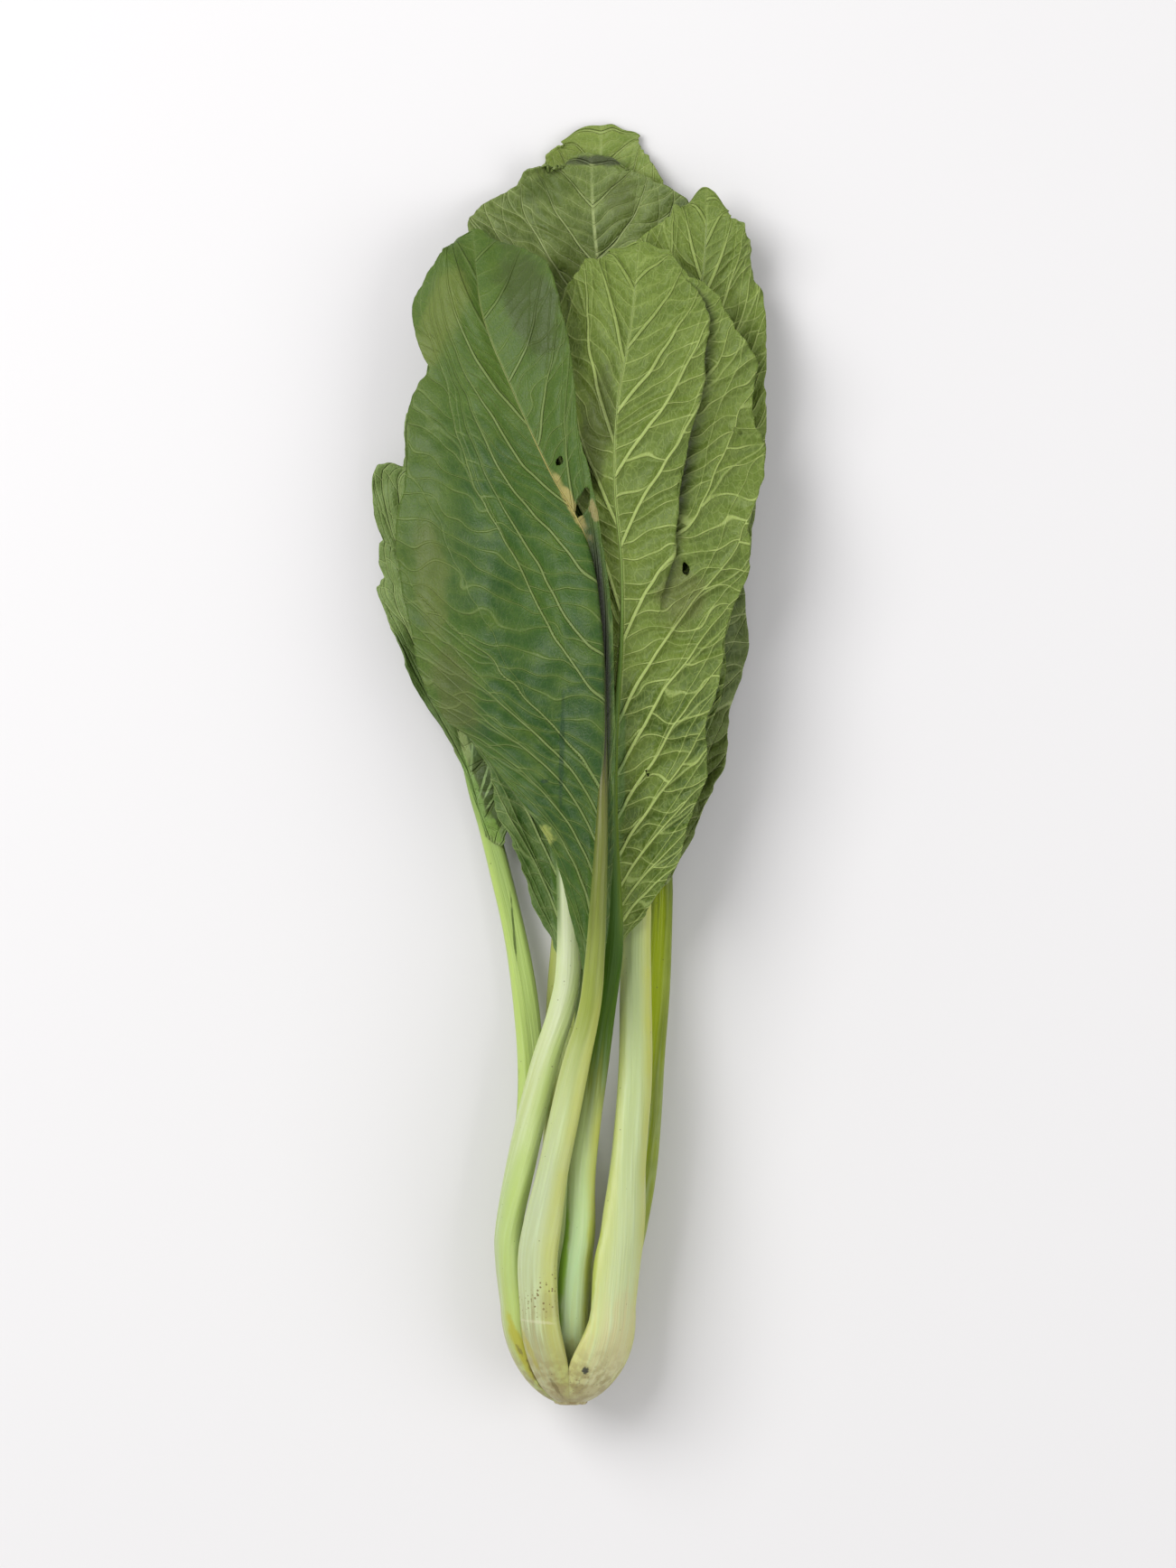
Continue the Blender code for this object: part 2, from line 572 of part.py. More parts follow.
def make_crown(collection, finish):
    """The short stem: a turned profile whose axis lies along Y."""
    profile = bmesh.new()
    points = [profile.verts.new((r * MM, 0.0, -y * MM)) for y, r in CROWN_PROFILE]
    for a, b in zip(points, points[1:]):
        profile.edges.new((a, b))
    made = add_object("crown", profile, collection, finish)
    made.rotation_euler = (math.radians(90.0), 0.0, 0.0)
    made.location = (0.0, 0.0, BULB_AXIS_Z * MM)
    turned = made.modifiers.new("turned", "SCREW")
    turned.steps = turned.render_steps = CROWN_STEPS
    turned.use_merge_vertices = True
    turned.merge_threshold = 1e-6
    turned.use_normal_calculate = True
    return made


def main():
    """Clears the scene, then lays the leaves on one another from the back."""
    for old in list(bpy.data.objects):
        bpy.data.objects.remove(old)
    head = bpy.data.collections.new("choy_sum")
    bpy.context.scene.collection.children.link(head)
    finishes = {name: material(name, colour) for name, colour in COLOURS.items()}
    make_crown(head, finishes["crown"])
    pile = Pile()
    for plan in LEAVES:
        leaf = Leaf(plan, pile)
        make_stalk(leaf, head, finishes["stalk"])
        make_blade(leaf, head, finishes["blade"])


main()
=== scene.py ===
# %% [markdown]
# # One head of choy sum, lying on its back
# The real thing is eight leaves that grow from one short crown. Each leaf is a pale, juicy
# stalk that runs on as the midrib of a thin green blade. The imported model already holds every
# leaf as a plain solid of the right size. This lesson dresses those solids: it builds each leaf
# again from the same named sizes, finer and with veins, ruffles and holes, and gives it a finish.

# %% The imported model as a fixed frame
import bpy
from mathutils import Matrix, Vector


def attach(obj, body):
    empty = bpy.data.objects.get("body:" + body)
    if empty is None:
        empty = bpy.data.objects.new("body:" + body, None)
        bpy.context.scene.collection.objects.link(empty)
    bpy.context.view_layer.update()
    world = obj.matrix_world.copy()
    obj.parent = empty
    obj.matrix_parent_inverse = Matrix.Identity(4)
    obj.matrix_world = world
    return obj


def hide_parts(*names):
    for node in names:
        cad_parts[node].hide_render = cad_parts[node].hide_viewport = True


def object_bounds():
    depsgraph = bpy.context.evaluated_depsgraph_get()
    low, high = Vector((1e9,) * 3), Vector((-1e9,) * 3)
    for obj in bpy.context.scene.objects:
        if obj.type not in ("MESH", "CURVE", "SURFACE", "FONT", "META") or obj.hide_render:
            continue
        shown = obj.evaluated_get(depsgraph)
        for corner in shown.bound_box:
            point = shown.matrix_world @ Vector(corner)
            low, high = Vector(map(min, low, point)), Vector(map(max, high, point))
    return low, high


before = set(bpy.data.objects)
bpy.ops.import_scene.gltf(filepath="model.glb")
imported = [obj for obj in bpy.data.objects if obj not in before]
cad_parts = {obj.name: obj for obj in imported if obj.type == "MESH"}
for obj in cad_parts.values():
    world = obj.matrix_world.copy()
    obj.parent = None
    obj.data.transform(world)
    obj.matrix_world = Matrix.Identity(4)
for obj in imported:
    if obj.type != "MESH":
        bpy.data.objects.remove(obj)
cad_low, cad_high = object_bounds()
MM = 0.001


def size_in_mm(low, high):
    """The size of a box in mm, from its two corners in metres."""
    return [round((b - a) / MM, 1) for a, b in zip(low, high)]


print("the packed box in mm:", size_in_mm(cad_low, cad_high))

# %% [markdown]
# Leaves are easier to think of in millimetres, so the sizes of the head are in millimetres, and
# the function that makes a mesh turns them to metres. Only the floor and the lamps are given in
# metres. Whole rows of numbers are worked out at once with numpy, because a fine leaf has tens
# of thousands of points.

# %% Tools from outside, and the scene
import math

import bpy
import numpy as np
from mathutils import Vector, noise

SCENE = bpy.context.scene


def add_object(name, data):
    """A new object in the scene that holds a mesh, a lamp or a camera."""
    made = bpy.data.objects.new(name, data)
    SCENE.collection.objects.link(made)
    return made


print("the scene is", SCENE.name)

# %% [markdown]
# Three small curves are used all the time. A smooth step fades anything in or out without a
# crease, and a bell does so on both sides of a line. A curve through rows of numbers turns a
# few given stations into a long smooth stalk or leaf edge; it is made of cubic pieces
# that pass through every station.


# %% A smooth step, a bell, and a curve through stations
def smooth_step(low, high, value):
    """0 below low, 1 above high, and smooth between."""
    t = np.clip((value - low) / (high - low), 0.0, 1.0)
    return t * t * (3.0 - 2.0 * t)


def bell(value, width):
    """1 where the value is 0, and falling off to 0 over about twice the width."""
    return np.exp(-((value / width) ** 2))


def through(rows, t):
    """A smooth cubic curve through rows of numbers, at t counted in rows."""
    rows = np.asarray(rows, float)
    t = np.clip(np.atleast_1d(t), 0.0, len(rows) - 1.0)
    i = np.minimum(t.astype(int), len(rows) - 2)
    f = (t - i)[:, None]
    before, last = np.maximum(i - 1, 0), len(rows) - 1
    p0, p1, p2, p3 = rows[before], rows[i], rows[i + 1], rows[np.minimum(i + 2, last)]
    return 0.5 * (
        2.0 * p1
        + (p2 - p0) * f
        + (2.0 * p0 - 5.0 * p1 + 4.0 * p2 - p3) * f**2
        + (3.0 * p1 - p0 - 3.0 * p2 + p3) * f**3
    )


print("a smooth step half way:", float(smooth_step(0.0, 1.0, 0.5)))

# %% [markdown]
# Nothing that grows is even, so a little noise bends almost every measure. The noise comes
# from mathutils, because it is smooth there and gives the same values on every run. A seed
# moves the points to another part of the noise, so that two measures never wander together.
# Where one layer of noise is too plain, a broad one and a finer one are added.

# %% Noise over many points
SEED_STEPS = (17.3, 5.1)


def wander(scale, seed, *coordinates):
    """Smooth noise, about -0.5 to 0.5, over points given by one to three coordinates."""
    used, unused = [step * seed for step in SEED_STEPS]
    columns = [np.asarray(c, float).ravel() / scale + used for c in coordinates]
    columns += [np.full(columns[0].size, unused)] * (3 - len(columns))
    return np.array([noise.noise(Vector(p)) for p in zip(*columns)])


def layered(layers, *coordinates):
    """The sum of layers of noise, each with a size, a scale and a seed."""
    return sum(size * wander(scale, seed, *coordinates) for size, scale, seed in layers)


print("noise along a line:", np.round(wander(10.0, 1, np.arange(0, 30, 10)), 2))

# %% [markdown]
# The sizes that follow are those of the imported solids. The stalks clasp the crown in a bulb,
# and the blades lie on one another from the back leaf to the front leaf.

# %% The sizes of the head
# the bulb: its axis, its shoulder, and how its stalks close in, thin out and turn below that
BULB_AXIS_Z = 21.0
BULB_SHOULDER_Y = -160.0
BULB_ROUND = 29.0
BASE_THINNEST = 0.12
BASE_TURN_Y = (-159.0, -183.0)
# a stalk's section is curled round the axis up to the first y, round its own circle from the
# second, is more or less square on its outer side and a little hollow on its inner side
CUP_RADIUS = 20.0
CUP_FROM_Y = -145.0
CUP_TO_Y = -100.0
OUTER_FACE = 0.8
INNER_FACE = (0.82, 0.18)
# how blades and stalks lie clear of the pile, and how a blade drapes down from its midrib
BLADE_THICKNESS = 0.8
RIB_GAP = 0.4
STALK_GAP = 0.5
BLADE_LIFT = 2.0
DRAPE_REACH = 30.0
DRAPE_SOFTNESS = 0.05
RIB_SHOULDER = 1.0
SHEET_MARGIN = 0.15
# the midrib's half width and thickness at the tip, how each tapers, and where the rib ends
RIB_TIP = (0.55, 0.9)
RIB_TAPER = (2.4, 1.7)
RIB_END = 0.94
# where the waves of the edge begin, how their two sides differ, and where a fold fades out
RUFFLE_START = (3.0, 22.0)
SIDE_PHASE = 1.7
FOLD_FADE = (0.82, 0.96)
FOLD_FOOT = 0.1
# the grid of the pile, how far it bridges dips, and where the blades begin to lie wide
PILE_X = (-72, 72)
PILE_Y = (-82, 197)
JUST_INSIDE = 1.001
STALK_REACH = 2
NECK_REACH = 4
BLADE_REACH = 10
BLADES_Y = (-45.0, 15.0)
LIFT_REACH = 30
# how finely a leaf is sampled when it is laid
SPINE_SAMPLES = 600
BLADE_SAMPLES = (181, 330)
STALK_SAMPLES = 40
print("the axis of the bulb lies", BULB_AXIS_Z, "mm above the floor")

# %% [markdown]
# A leaf is planned as a few stations from base to tip. A petiole row holds x, y, z of
# the stalk's centre, its half width, its thickness and the direction that its outer side faces,
# in degrees from +X towards +Z. A blade row holds x, y, z of the midrib, then x, y of the left
# edge and of the right edge. A plan also names all else that makes one leaf differ from the
# next, in millimetres or as a share of the blade. What most leaves share is given once.

# %% What the plan of a leaf holds
# outer_up: whether its outer side faces up
# base: where its foot sits round the crown, and how far it reaches to each side, in degrees
# rib: the half width and the thickness of the midrib where the blade starts
# ruffle, lobes: height, count and phase of the edge's waves, up and down, and in and out
# veins: where the side veins leave the midrib, on the left and on the right
# advance: how far forward a vein runs to the edge, for starts at even steps along the blade
# bend: how strongly veins bend forward, at such steps, and the share of advance on the right
# fray: how much the edge is frayed
# notches: side (-1 is left), place along the blade, depth (a lobe stands out where it is below
#     0), and how far it reaches down and up
# tip: how far the blunt end is turned in radians, its half width, and how round it is
# fold: where it starts and is full, its height, and where its line lies across the right half
# cleft: where it starts and ends along the blade, and how high its wall is
# holes: x, y, half width, half height and tilt in degrees
# relief, calm: height of ridges, quilt and puckers, and how far out they stay as high
# spacing: the step of the fine grid
# tone: which tones the blade has
# lighter: where the blade starts to be lighter and is lightest, and by how much
# washes: a colour that fades in across the blade: from, to, cover and colour
# patches, stains: spots of the blade and of the stalk, some of them painted shade and light,
#     with x, y, half width, half height, tilt, colour and cover
# specks: areas of tiny specks on the stalk, with the same values but no colour
# stalk: colours along the stalk, each with its y
# edges: how strong the coloured edges of the stalk are on the left and on the right, their
#     tone, and the y where they fade out
# flank, gloss: how green the flanks of the midrib are, and how much the stalk shines
USUAL = dict(bend=((1.45,), 1.0), calm=0.8, flank=0.8, gloss=0.32,
             notches=(), holes=(), washes=(), patches=(), stains=(), specks=())
PLANS = []


def plan_leaf(**values):
    """Adds the plan of a leaf, with the usual values where it gives no others."""
    plan = {**USUAL, **values}
    PLANS.append(plan)
    print(plan["name"], "has", len(plan["blade"]), "stations on its blade")


print("usual values of a plan:", list(USUAL))

# %% [markdown]
# The back leaf lies lowest and carries the whole head. Only its tip shows in the photo, so the
# rest follows its neighbours. It lies on its outer side, with the inside of its blade up. The
# plans are given in the order in which the leaves are laid.

# %% The back leaf
plan_leaf(
    name="leaf_back", outer_up=False, base=(263, 29), rib=(4.4, 5.4),
    ruffle=(4, 3.5, 0.4), lobes=(0.035, 6, 0.2),
    petiole=(
        (-1.5, -160, 3.1, 8.4, 7.4, 266), (-1.5, -147.7, 2.9, 8, 7.4, 268),
        (-1.5, -137, 2.9, 7.4, 7.2, 270), (-2, -118.6, 2.9, 6.4, 7, 270),
        (-2.5, -89.4, 2.8, 5.4, 6.6, 270), (-2, -68, 2.5, 4.8, 6, 270),
    ),
    blade=(
        (-1, -48, 2.3, -4, -46, 2, -46),
        (0.4, -22, 2, -16, -16, 16, -16),
        (1.2, 4, 1.7, -28, 14, 28, 14),
        (2, 32, 1.4, -36, 46, 38, 46),
        (3, 60, 1.1, -40, 78, 44, 78),
        (4, 90, 0.9, -39, 108, 46, 108),
        (5.5, 118, 0.7, -33, 137, 43, 137),
        (7, 145, 0.6, -21, 161, 34, 161),
        (8.3, 170, 0.5, -6, 179.5, 22, 179.5),
        (9, 189, 0.5, 9, 189, 9, 189),
    ),
    veins=((0.05, 0.14, 0.23, 0.33, 0.42, 0.52, 0.62, 0.72, 0.82, 0.91),
           (0.03, 0.12, 0.21, 0.31, 0.41, 0.5, 0.6, 0.71, 0.81, 0.91)),
    fray=0.9,
    relief=(0.35, 0.7, 0.9), spacing=1.05, tone="top leaf",
    stalk=((-190, (0.46, 0.43, 0.22)), (-150, (0.42, 0.46, 0.22)),
           (-70, (0.3, 0.36, 0.1)), (0, (0.22, 0.29, 0.08))),
    edges=(0.5, 0.5, "olive", -60),
    advance=(0.1, 0.18, 0.22, 0.14, 0),
    tip=(0.07, 11, 0.45),
    lighter=(0.2, 0.6, 0.1),
    bend=((1.1,), 1),
)

# %% [markdown]
# The back right leaf has an olive stalk and the broad, crinkled blade that shows along the top.

# %% The back right leaf
plan_leaf(
    name="leaf_back_right", outer_up=False, base=(322, 25), rib=(4.1, 5.6),
    ruffle=(5, 4.5, 1.9), lobes=(0.04, 7, 1.1),
    petiole=(
        (13.6, -160, 10.4, 7.4, 6.6, 322), (15.2, -147.7, 10.6, 6.8, 6.8, 318),
        (17.6, -137, 10.8, 6, 6.8, 312), (20.8, -118.6, 11, 5, 6.6, 300),
        (23, -89.4, 11, 4.6, 6.4, 284), (25, -62, 10, 4.4, 6.2, 272),
    ),
    blade=(
        (26, -38, 8.1, 24, -36, 28.6, -36),
        (25.5, -14, 8.9, 10, -8, 41, -12),
        (24, 10, 8.2, -4, 20, 48, 14),
        (21.5, 36, 7.8, -16, 52, 52, 44),
        (18.5, 64, 7, -25, 84, 53, 76),
        (15, 92, 6.2, -31, 114, 53, 106),
        (11.5, 118, 5.6, -33, 142, 50.5, 134),
        (8.5, 142, 5.5, -27, 162, 43, 156),
        (6.5, 162, 5.5, -13, 174, 26, 171),
        (6, 180, 5, 6, 180, 6, 180),
    ),
    veins=((0.04, 0.13, 0.22, 0.32, 0.41, 0.5, 0.6, 0.7, 0.8, 0.9),
           (0.05, 0.13, 0.22, 0.31, 0.4, 0.5, 0.61, 0.71, 0.81, 0.9)),
    fray=0.7,
    relief=(0.45, 0.9, 1.3), spacing=0.85, tone="crinkled leaf",
    stalk=((-190, (0.42, 0.4, 0.18)), (-158, (0.36, 0.4, 0.09)),
           (-120, (0.33, 0.41, 0.006)), (-50, (0.3, 0.38, 0.006)),
           (-30, (0.13, 0.18, 0.01)), (80, (0.16, 0.22, 0.06))),
    edges=(0.6, 0.5, "dark", -40),
    advance=(0.1, 0.18, 0.22, 0.14, 0),
    tip=(0.05, 9, 0.45),
    lighter=(0.2, 0.7, 0.2),
    bend=((1.1,), 1),
    patches=((-6.5, 169, 8, 4.5, 10, (0.05, 0.08, 0.01), 0.5),
             (15, 166, 5, 7, 0, (0.058, 0.078, 0.01), 0.5),
             # painted shadow: a grey band along the curled top edge
             (8, 177.4, 10, 1.6, 0, (0.03, 0.036, 0.02), 0.75)),
)

# %% [markdown]
# The far left leaf has a thin stalk that lies apart from the others, and small lobes that
# peep out on the left.

# %% The far left leaf
plan_leaf(
    name="leaf_far_left", outer_up=False, base=(212, 16), rib=(3.1, 4.8),
    ruffle=(4.5, 3.5, 2.6), lobes=(0.06, 6, 2.4),
    petiole=(
        (-16.6, -160, 11.5, 5, 6, 212), (-18, -147.7, 12, 4.6, 6, 208),
        (-17.6, -137, 12.5, 4.2, 6, 210), (-14.4, -118.6, 12.5, 3.9, 6, 222),
        (-11.8, -96, 11.5, 3.8, 5.8, 240), (-13, -73.5, 10, 3.7, 5.6, 258),
        (-17, -49, 8.5, 3.4, 5.2, 268),
    ),
    blade=(
        (-23.2, -24, 8.1, -25.4, -22, -20.5, -25),
        (-28.3, -8, 9.2, -32, -1, -12, -10),
        (-32.5, 8, 9, -43.5, 18, -5, 10),
        (-36.5, 26, 8, -54, 40, -3, 32),
        (-40, 46, 6.5, -57.5, 60, -4, 54),
        (-42.5, 66, 7, -57.5, 84, -8, 78),
        (-43, 86, 8.6, -53, 103, -15, 100),
        (-41.5, 105, 9.6, -47, 118, -25, 117),
        (-38, 126, 9.6, -38, 126, -38, 126),
    ),
    veins=((0.02, 0.14, 0.26, 0.38, 0.5, 0.62, 0.74, 0.86),
           (0.05, 0.16, 0.28, 0.39, 0.51, 0.63, 0.75, 0.87)),
    fray=1.1,
    notches=((-1, 0.7, 9, 0.03, 0.5), (-1, 0.475, 2.5, 0.03, 0.012),
             (-1, 0.54, 2, 0.012, 0.012)),
    relief=(0.35, 0.6, 0.9), spacing=0.8, tone="side leaf",
    stalk=((-190, (0.46, 0.43, 0.22)), (-130, (0.42, 0.52, 0.18)),
           (-60, (0.36, 0.48, 0.13)), (-15, (0.28, 0.4, 0.11)),
           (18, (0.21, 0.31, 0.07)), (80, (0.16, 0.22, 0.05))),
    edges=(0.1, 0.8, "lime", -30),
    advance=(0.18, 0.3, 0.34, 0.19, 0),
    tip=(0.5, 5, 0.6),
    lighter=(0.1, 0.4, 0.75),
    patches=((-25, -9, 5, 12, 20, (0.04, 0.068, 0.008), 0.85),
             # painted shadow: the edge of the front left leaf shades this lobe
             (-46, 24, 5, 14, 25, (0.03, 0.07, 0.008), 0.6),
             (-28.2, -9.5, 1.5, 14.5, 19.5, (0.21, 0.34, 0.085), 0.85),
             (-23.2, -20, 2.2, 4.5, 15, (0.17, 0.29, 0.045), 0.7),
             (-29.3, 0.2, 0.38, 6.4, -3, (0.22, 0.32, 0.11), 0.9),
             (-25.8, -6.2, 0.38, 6.4, -17, (0.22, 0.32, 0.11), 0.9),
             (-23.9, -7.4, 0.34, 5.2, -25, (0.22, 0.32, 0.11), 0.9),
             (-22.8, -11, 0.34, 4.8, -35, (0.22, 0.32, 0.11), 0.9)),
    flank=0.35,
    stains=((-16.9, -49.5, 0.4, 10.5, 5, (0.06, 0.1, 0.01), 0.85),
            (-16, -100, 0.5, 9, -4, (0.2, 0.28, 0.03), 0.5)),
)

# %% [markdown]
# The heart leaf is the young one inside the head. The photo hides it, so its size is a guess.

# %% The heart leaf
plan_leaf(
    name="leaf_heart", outer_up=False, base=(262, 30), rib=(3.1, 4.6),
    ruffle=(2, 2, 0.9), lobes=(0.03, 4, 0.5),
    petiole=(
        (-0.5, -160, 14.5, 4, 5.4, 262), (0, -147.7, 15, 4, 5.4, 264),
        (0.8, -137, 15.5, 3.9, 5.4, 266), (1.8, -118.6, 15.8, 3.7, 5.4, 268),
        (3.6, -89.4, 14.5, 3.5, 5.2, 270), (4.4, -73.5, 13.8, 3.3, 5, 270),
    ),
    blade=(
        (4.8, -62, 13.2, 2.4, -61, 7, -61),
        (5, -40, 13.6, -6, -35, 14, -37),
        (5, -18, 15.5, -15, -8, 19, -12),
        (4.2, 6, 17, -19, 18, 22, 14),
        (3, 30, 17.6, -21, 44, 22, 40),
        (1, 54, 17.6, -19, 67, 18, 64),
        (-1, 76, 16.2, -13, 87, 9, 84),
        (-2.5, 98, 13.6, -2.5, 98, -2.5, 98),
    ),
    veins=((0.08, 0.22, 0.36, 0.5, 0.64, 0.8), (0.1, 0.24, 0.38, 0.52, 0.66, 0.82)),
    fray=0.8,
    relief=(0.25, 0.4, 0.5), spacing=1.1, tone="side leaf",
    stalk=((-180, (0.44, 0.5, 0.22)), (-120, (0.44, 0.52, 0.22)),
           (-70, (0.08, 0.13, 0.015)), (60, (0.08, 0.15, 0.03))),
    edges=(0.4, 0.4, "lime", -90),
    advance=(0.18, 0.3, 0.34, 0.19, 0),
    tip=(0, 3, 0.6),
    lighter=(0.2, 0.6, 0.1),
)

# %% [markdown]
# The left leaf has the pale outer stalk on the left of the bulb. Its blade is mostly hidden
# behind the front left leaf, but its toothed lower edge shows beside the neck.

# %% The left leaf
plan_leaf(
    name="leaf_left", outer_up=True, base=(167, 23), rib=(3.5, 5.4),
    ruffle=(3, 3.5, 1.2), lobes=(0.05, 7, 0),
    petiole=(
        (-17.1, -160, 24.5, 7.6, 6.8, 168), (-18.3, -147.7, 25, 7.2, 7, 166),
        (-18.3, -137, 25.5, 6.4, 7, 160), (-14.7, -118.6, 26.5, 5.4, 7, 145),
        (-7.7, -89.4, 26, 4.4, 6.6, 120), (-2.8, -73.5, 25, 4, 6.2, 105),
    ),
    blade=(
        (-0.9, -60, 24.6, -3.6, -58, 1.6, -58),
        (-1.6, -36, 24.6, -15, -30, 6, -30),
        (-4, -12, 25.2, -25, -4, 11, -4),
        (-8, 14, 25.8, -35, 24, 14, 22),
        (-12, 40, 26, -42, 52, 13, 48),
        (-16, 64, 25.2, -43, 79, 11, 74),
        (-19.5, 88, 23, -40, 103, 3, 98),
        (-22, 108, 19.8, -33, 121, -8, 118),
        (-24, 130, 16.5, -24, 130, -24, 130),
    ),
    veins=((0.04, 0.12, 0.22, 0.33, 0.44, 0.55, 0.66, 0.77, 0.88),
           (0.06, 0.16, 0.27, 0.38, 0.49, 0.6, 0.71, 0.82, 0.92)),
    fray=1.2,
    relief=(0.4, 0.6, 0.9), spacing=0.8, tone="side leaf",
    stalk=((-190, (0.42, 0.39, 0.17)), (-168, (0.36, 0.38, 0.14)),
           (-150, (0.36, 0.44, 0.18)), (-130, (0.36, 0.46, 0.18)), (-100, (0.42, 0.48, 0.22)),
           (-60, (0.52, 0.58, 0.35)), (-30, (0.48, 0.54, 0.32)), (60, (0.12, 0.2, 0.05))),
    edges=(0.45, 0.75, "lime", -58),
    advance=(0.18, 0.3, 0.34, 0.19, 0),
    tip=(0.2, 4, 0.6),
    lighter=(0, 0.2, 0),
    patches=((-9, -33, 8, 15, 20, (0.04, 0.092, 0.006), 0.35),),
    stains=((-14.5, -172, 1.6, 11, 24, (0.36, 0.33, 0.02), 0.75),
            (-10, -180, 0.9, 5.5, 30, (0.1, 0.07, 0.02), 0.75),
            (-15, -172.5, 0.6, 1.8, 30, (0.12, 0.1, 0.03), 0.6),
            # painted shade: a dark green line in the groove beside the front left stalk
            (-6.6, -107, 1.3, 17, -12.4, (0.13, 0.25, 0.02), 0.85)),
)

# %% [markdown]
# The right leaf has the widest stalk, which wraps round the right of the bulb. Its blade lies
# behind the front right leaf and shows along the right edge.

# %% The right leaf
plan_leaf(
    name="leaf_right", outer_up=True, base=(43, 54), rib=(4.2, 6),
    ruffle=(5, 4.5, 0.3), lobes=(0.04, 7, 1.7),
    petiole=(
        (13.4, -160, 32.6, 9.2, 6.8, 41), (14.4, -147.7, 32.8, 9.4, 7.2, 42),
        (15.6, -137, 32.8, 7.8, 7.2, 49), (16.8, -118.6, 31, 5.6, 7, 62),
        (18.8, -89.4, 27.5, 5, 6.8, 76), (19.1, -66, 25.2, 4.6, 6.4, 86),
    ),
    blade=(
        (19.4, -45, 26, 16.5, -43, 22, -43),
        (20.5, -22, 28.5, 8, -16, 33, -20),
        (22.5, 2, 29, 2, 12, 40, 6),
        (25, 28, 28.2, -2, 42, 46, 34),
        (28, 54, 26.6, -2, 72, 52, 62),
        (31, 80, 22.5, 1, 100, 56.5, 92),
        (34, 106, 17.5, 8, 127, 57.5, 120),
        (37, 130, 14.8, 18, 150, 54.5, 145),
        (39.5, 150, 13.6, 30, 163, 49, 160),
        (40, 168, 12, 40, 168, 40, 168),
    ),
    veins=((0.05, 0.14, 0.24, 0.34, 0.44, 0.54, 0.64, 0.74, 0.84, 0.93),
           (0.04, 0.12, 0.21, 0.31, 0.4, 0.5, 0.6, 0.7, 0.8, 0.9)),
    fray=0.9,
    relief=(0.5, 0.7, 0.8), spacing=0.75, tone="olive leaf",
    stalk=((-190, (0.5, 0.47, 0.26)), (-172, (0.53, 0.51, 0.26)),
           (-152, (0.47, 0.54, 0.26)), (-120, (0.4, 0.47, 0.22)),
           (-60, (0.35, 0.43, 0.19)), (-20, (0.32, 0.4, 0.12)), (80, (0.2, 0.27, 0.08))),
    edges=(0.5, 0.95, "olive", -40),
    advance=(0.1, 0.18, 0.22, 0.14, 0),
    tip=(-0.1, 5.5, 0.8),
    lighter=(0.2, 0.6, 0.6),
    stains=((4.2, -178, 1.1, 1.1, 0, (0.03, 0.034, 0.028), 0.92),
            (5.5, -186, 8, 3.6, 10, (0.36, 0.31, 0.14), 0.5),
            (6.2, -150, 1.3, 17, -8, (0.34, 0.39, 0.05), 0.7),
            (14, -182, 4, 1.4, 35, (0.26, 0.22, 0.06), 0.5),
            (15, -168, 4, 14, -10, (0.5, 0.45, 0.22), 0.35)),
    bend=((1,), 1),
    specks=((3, -183, 6, 4, 0, 0.5),),
)

# %% [markdown]
# The front right leaf shows its outer side: an olive blade with a strong net of raised veins.
# Its right half is folded once, along a line that starts at the right of the tip.

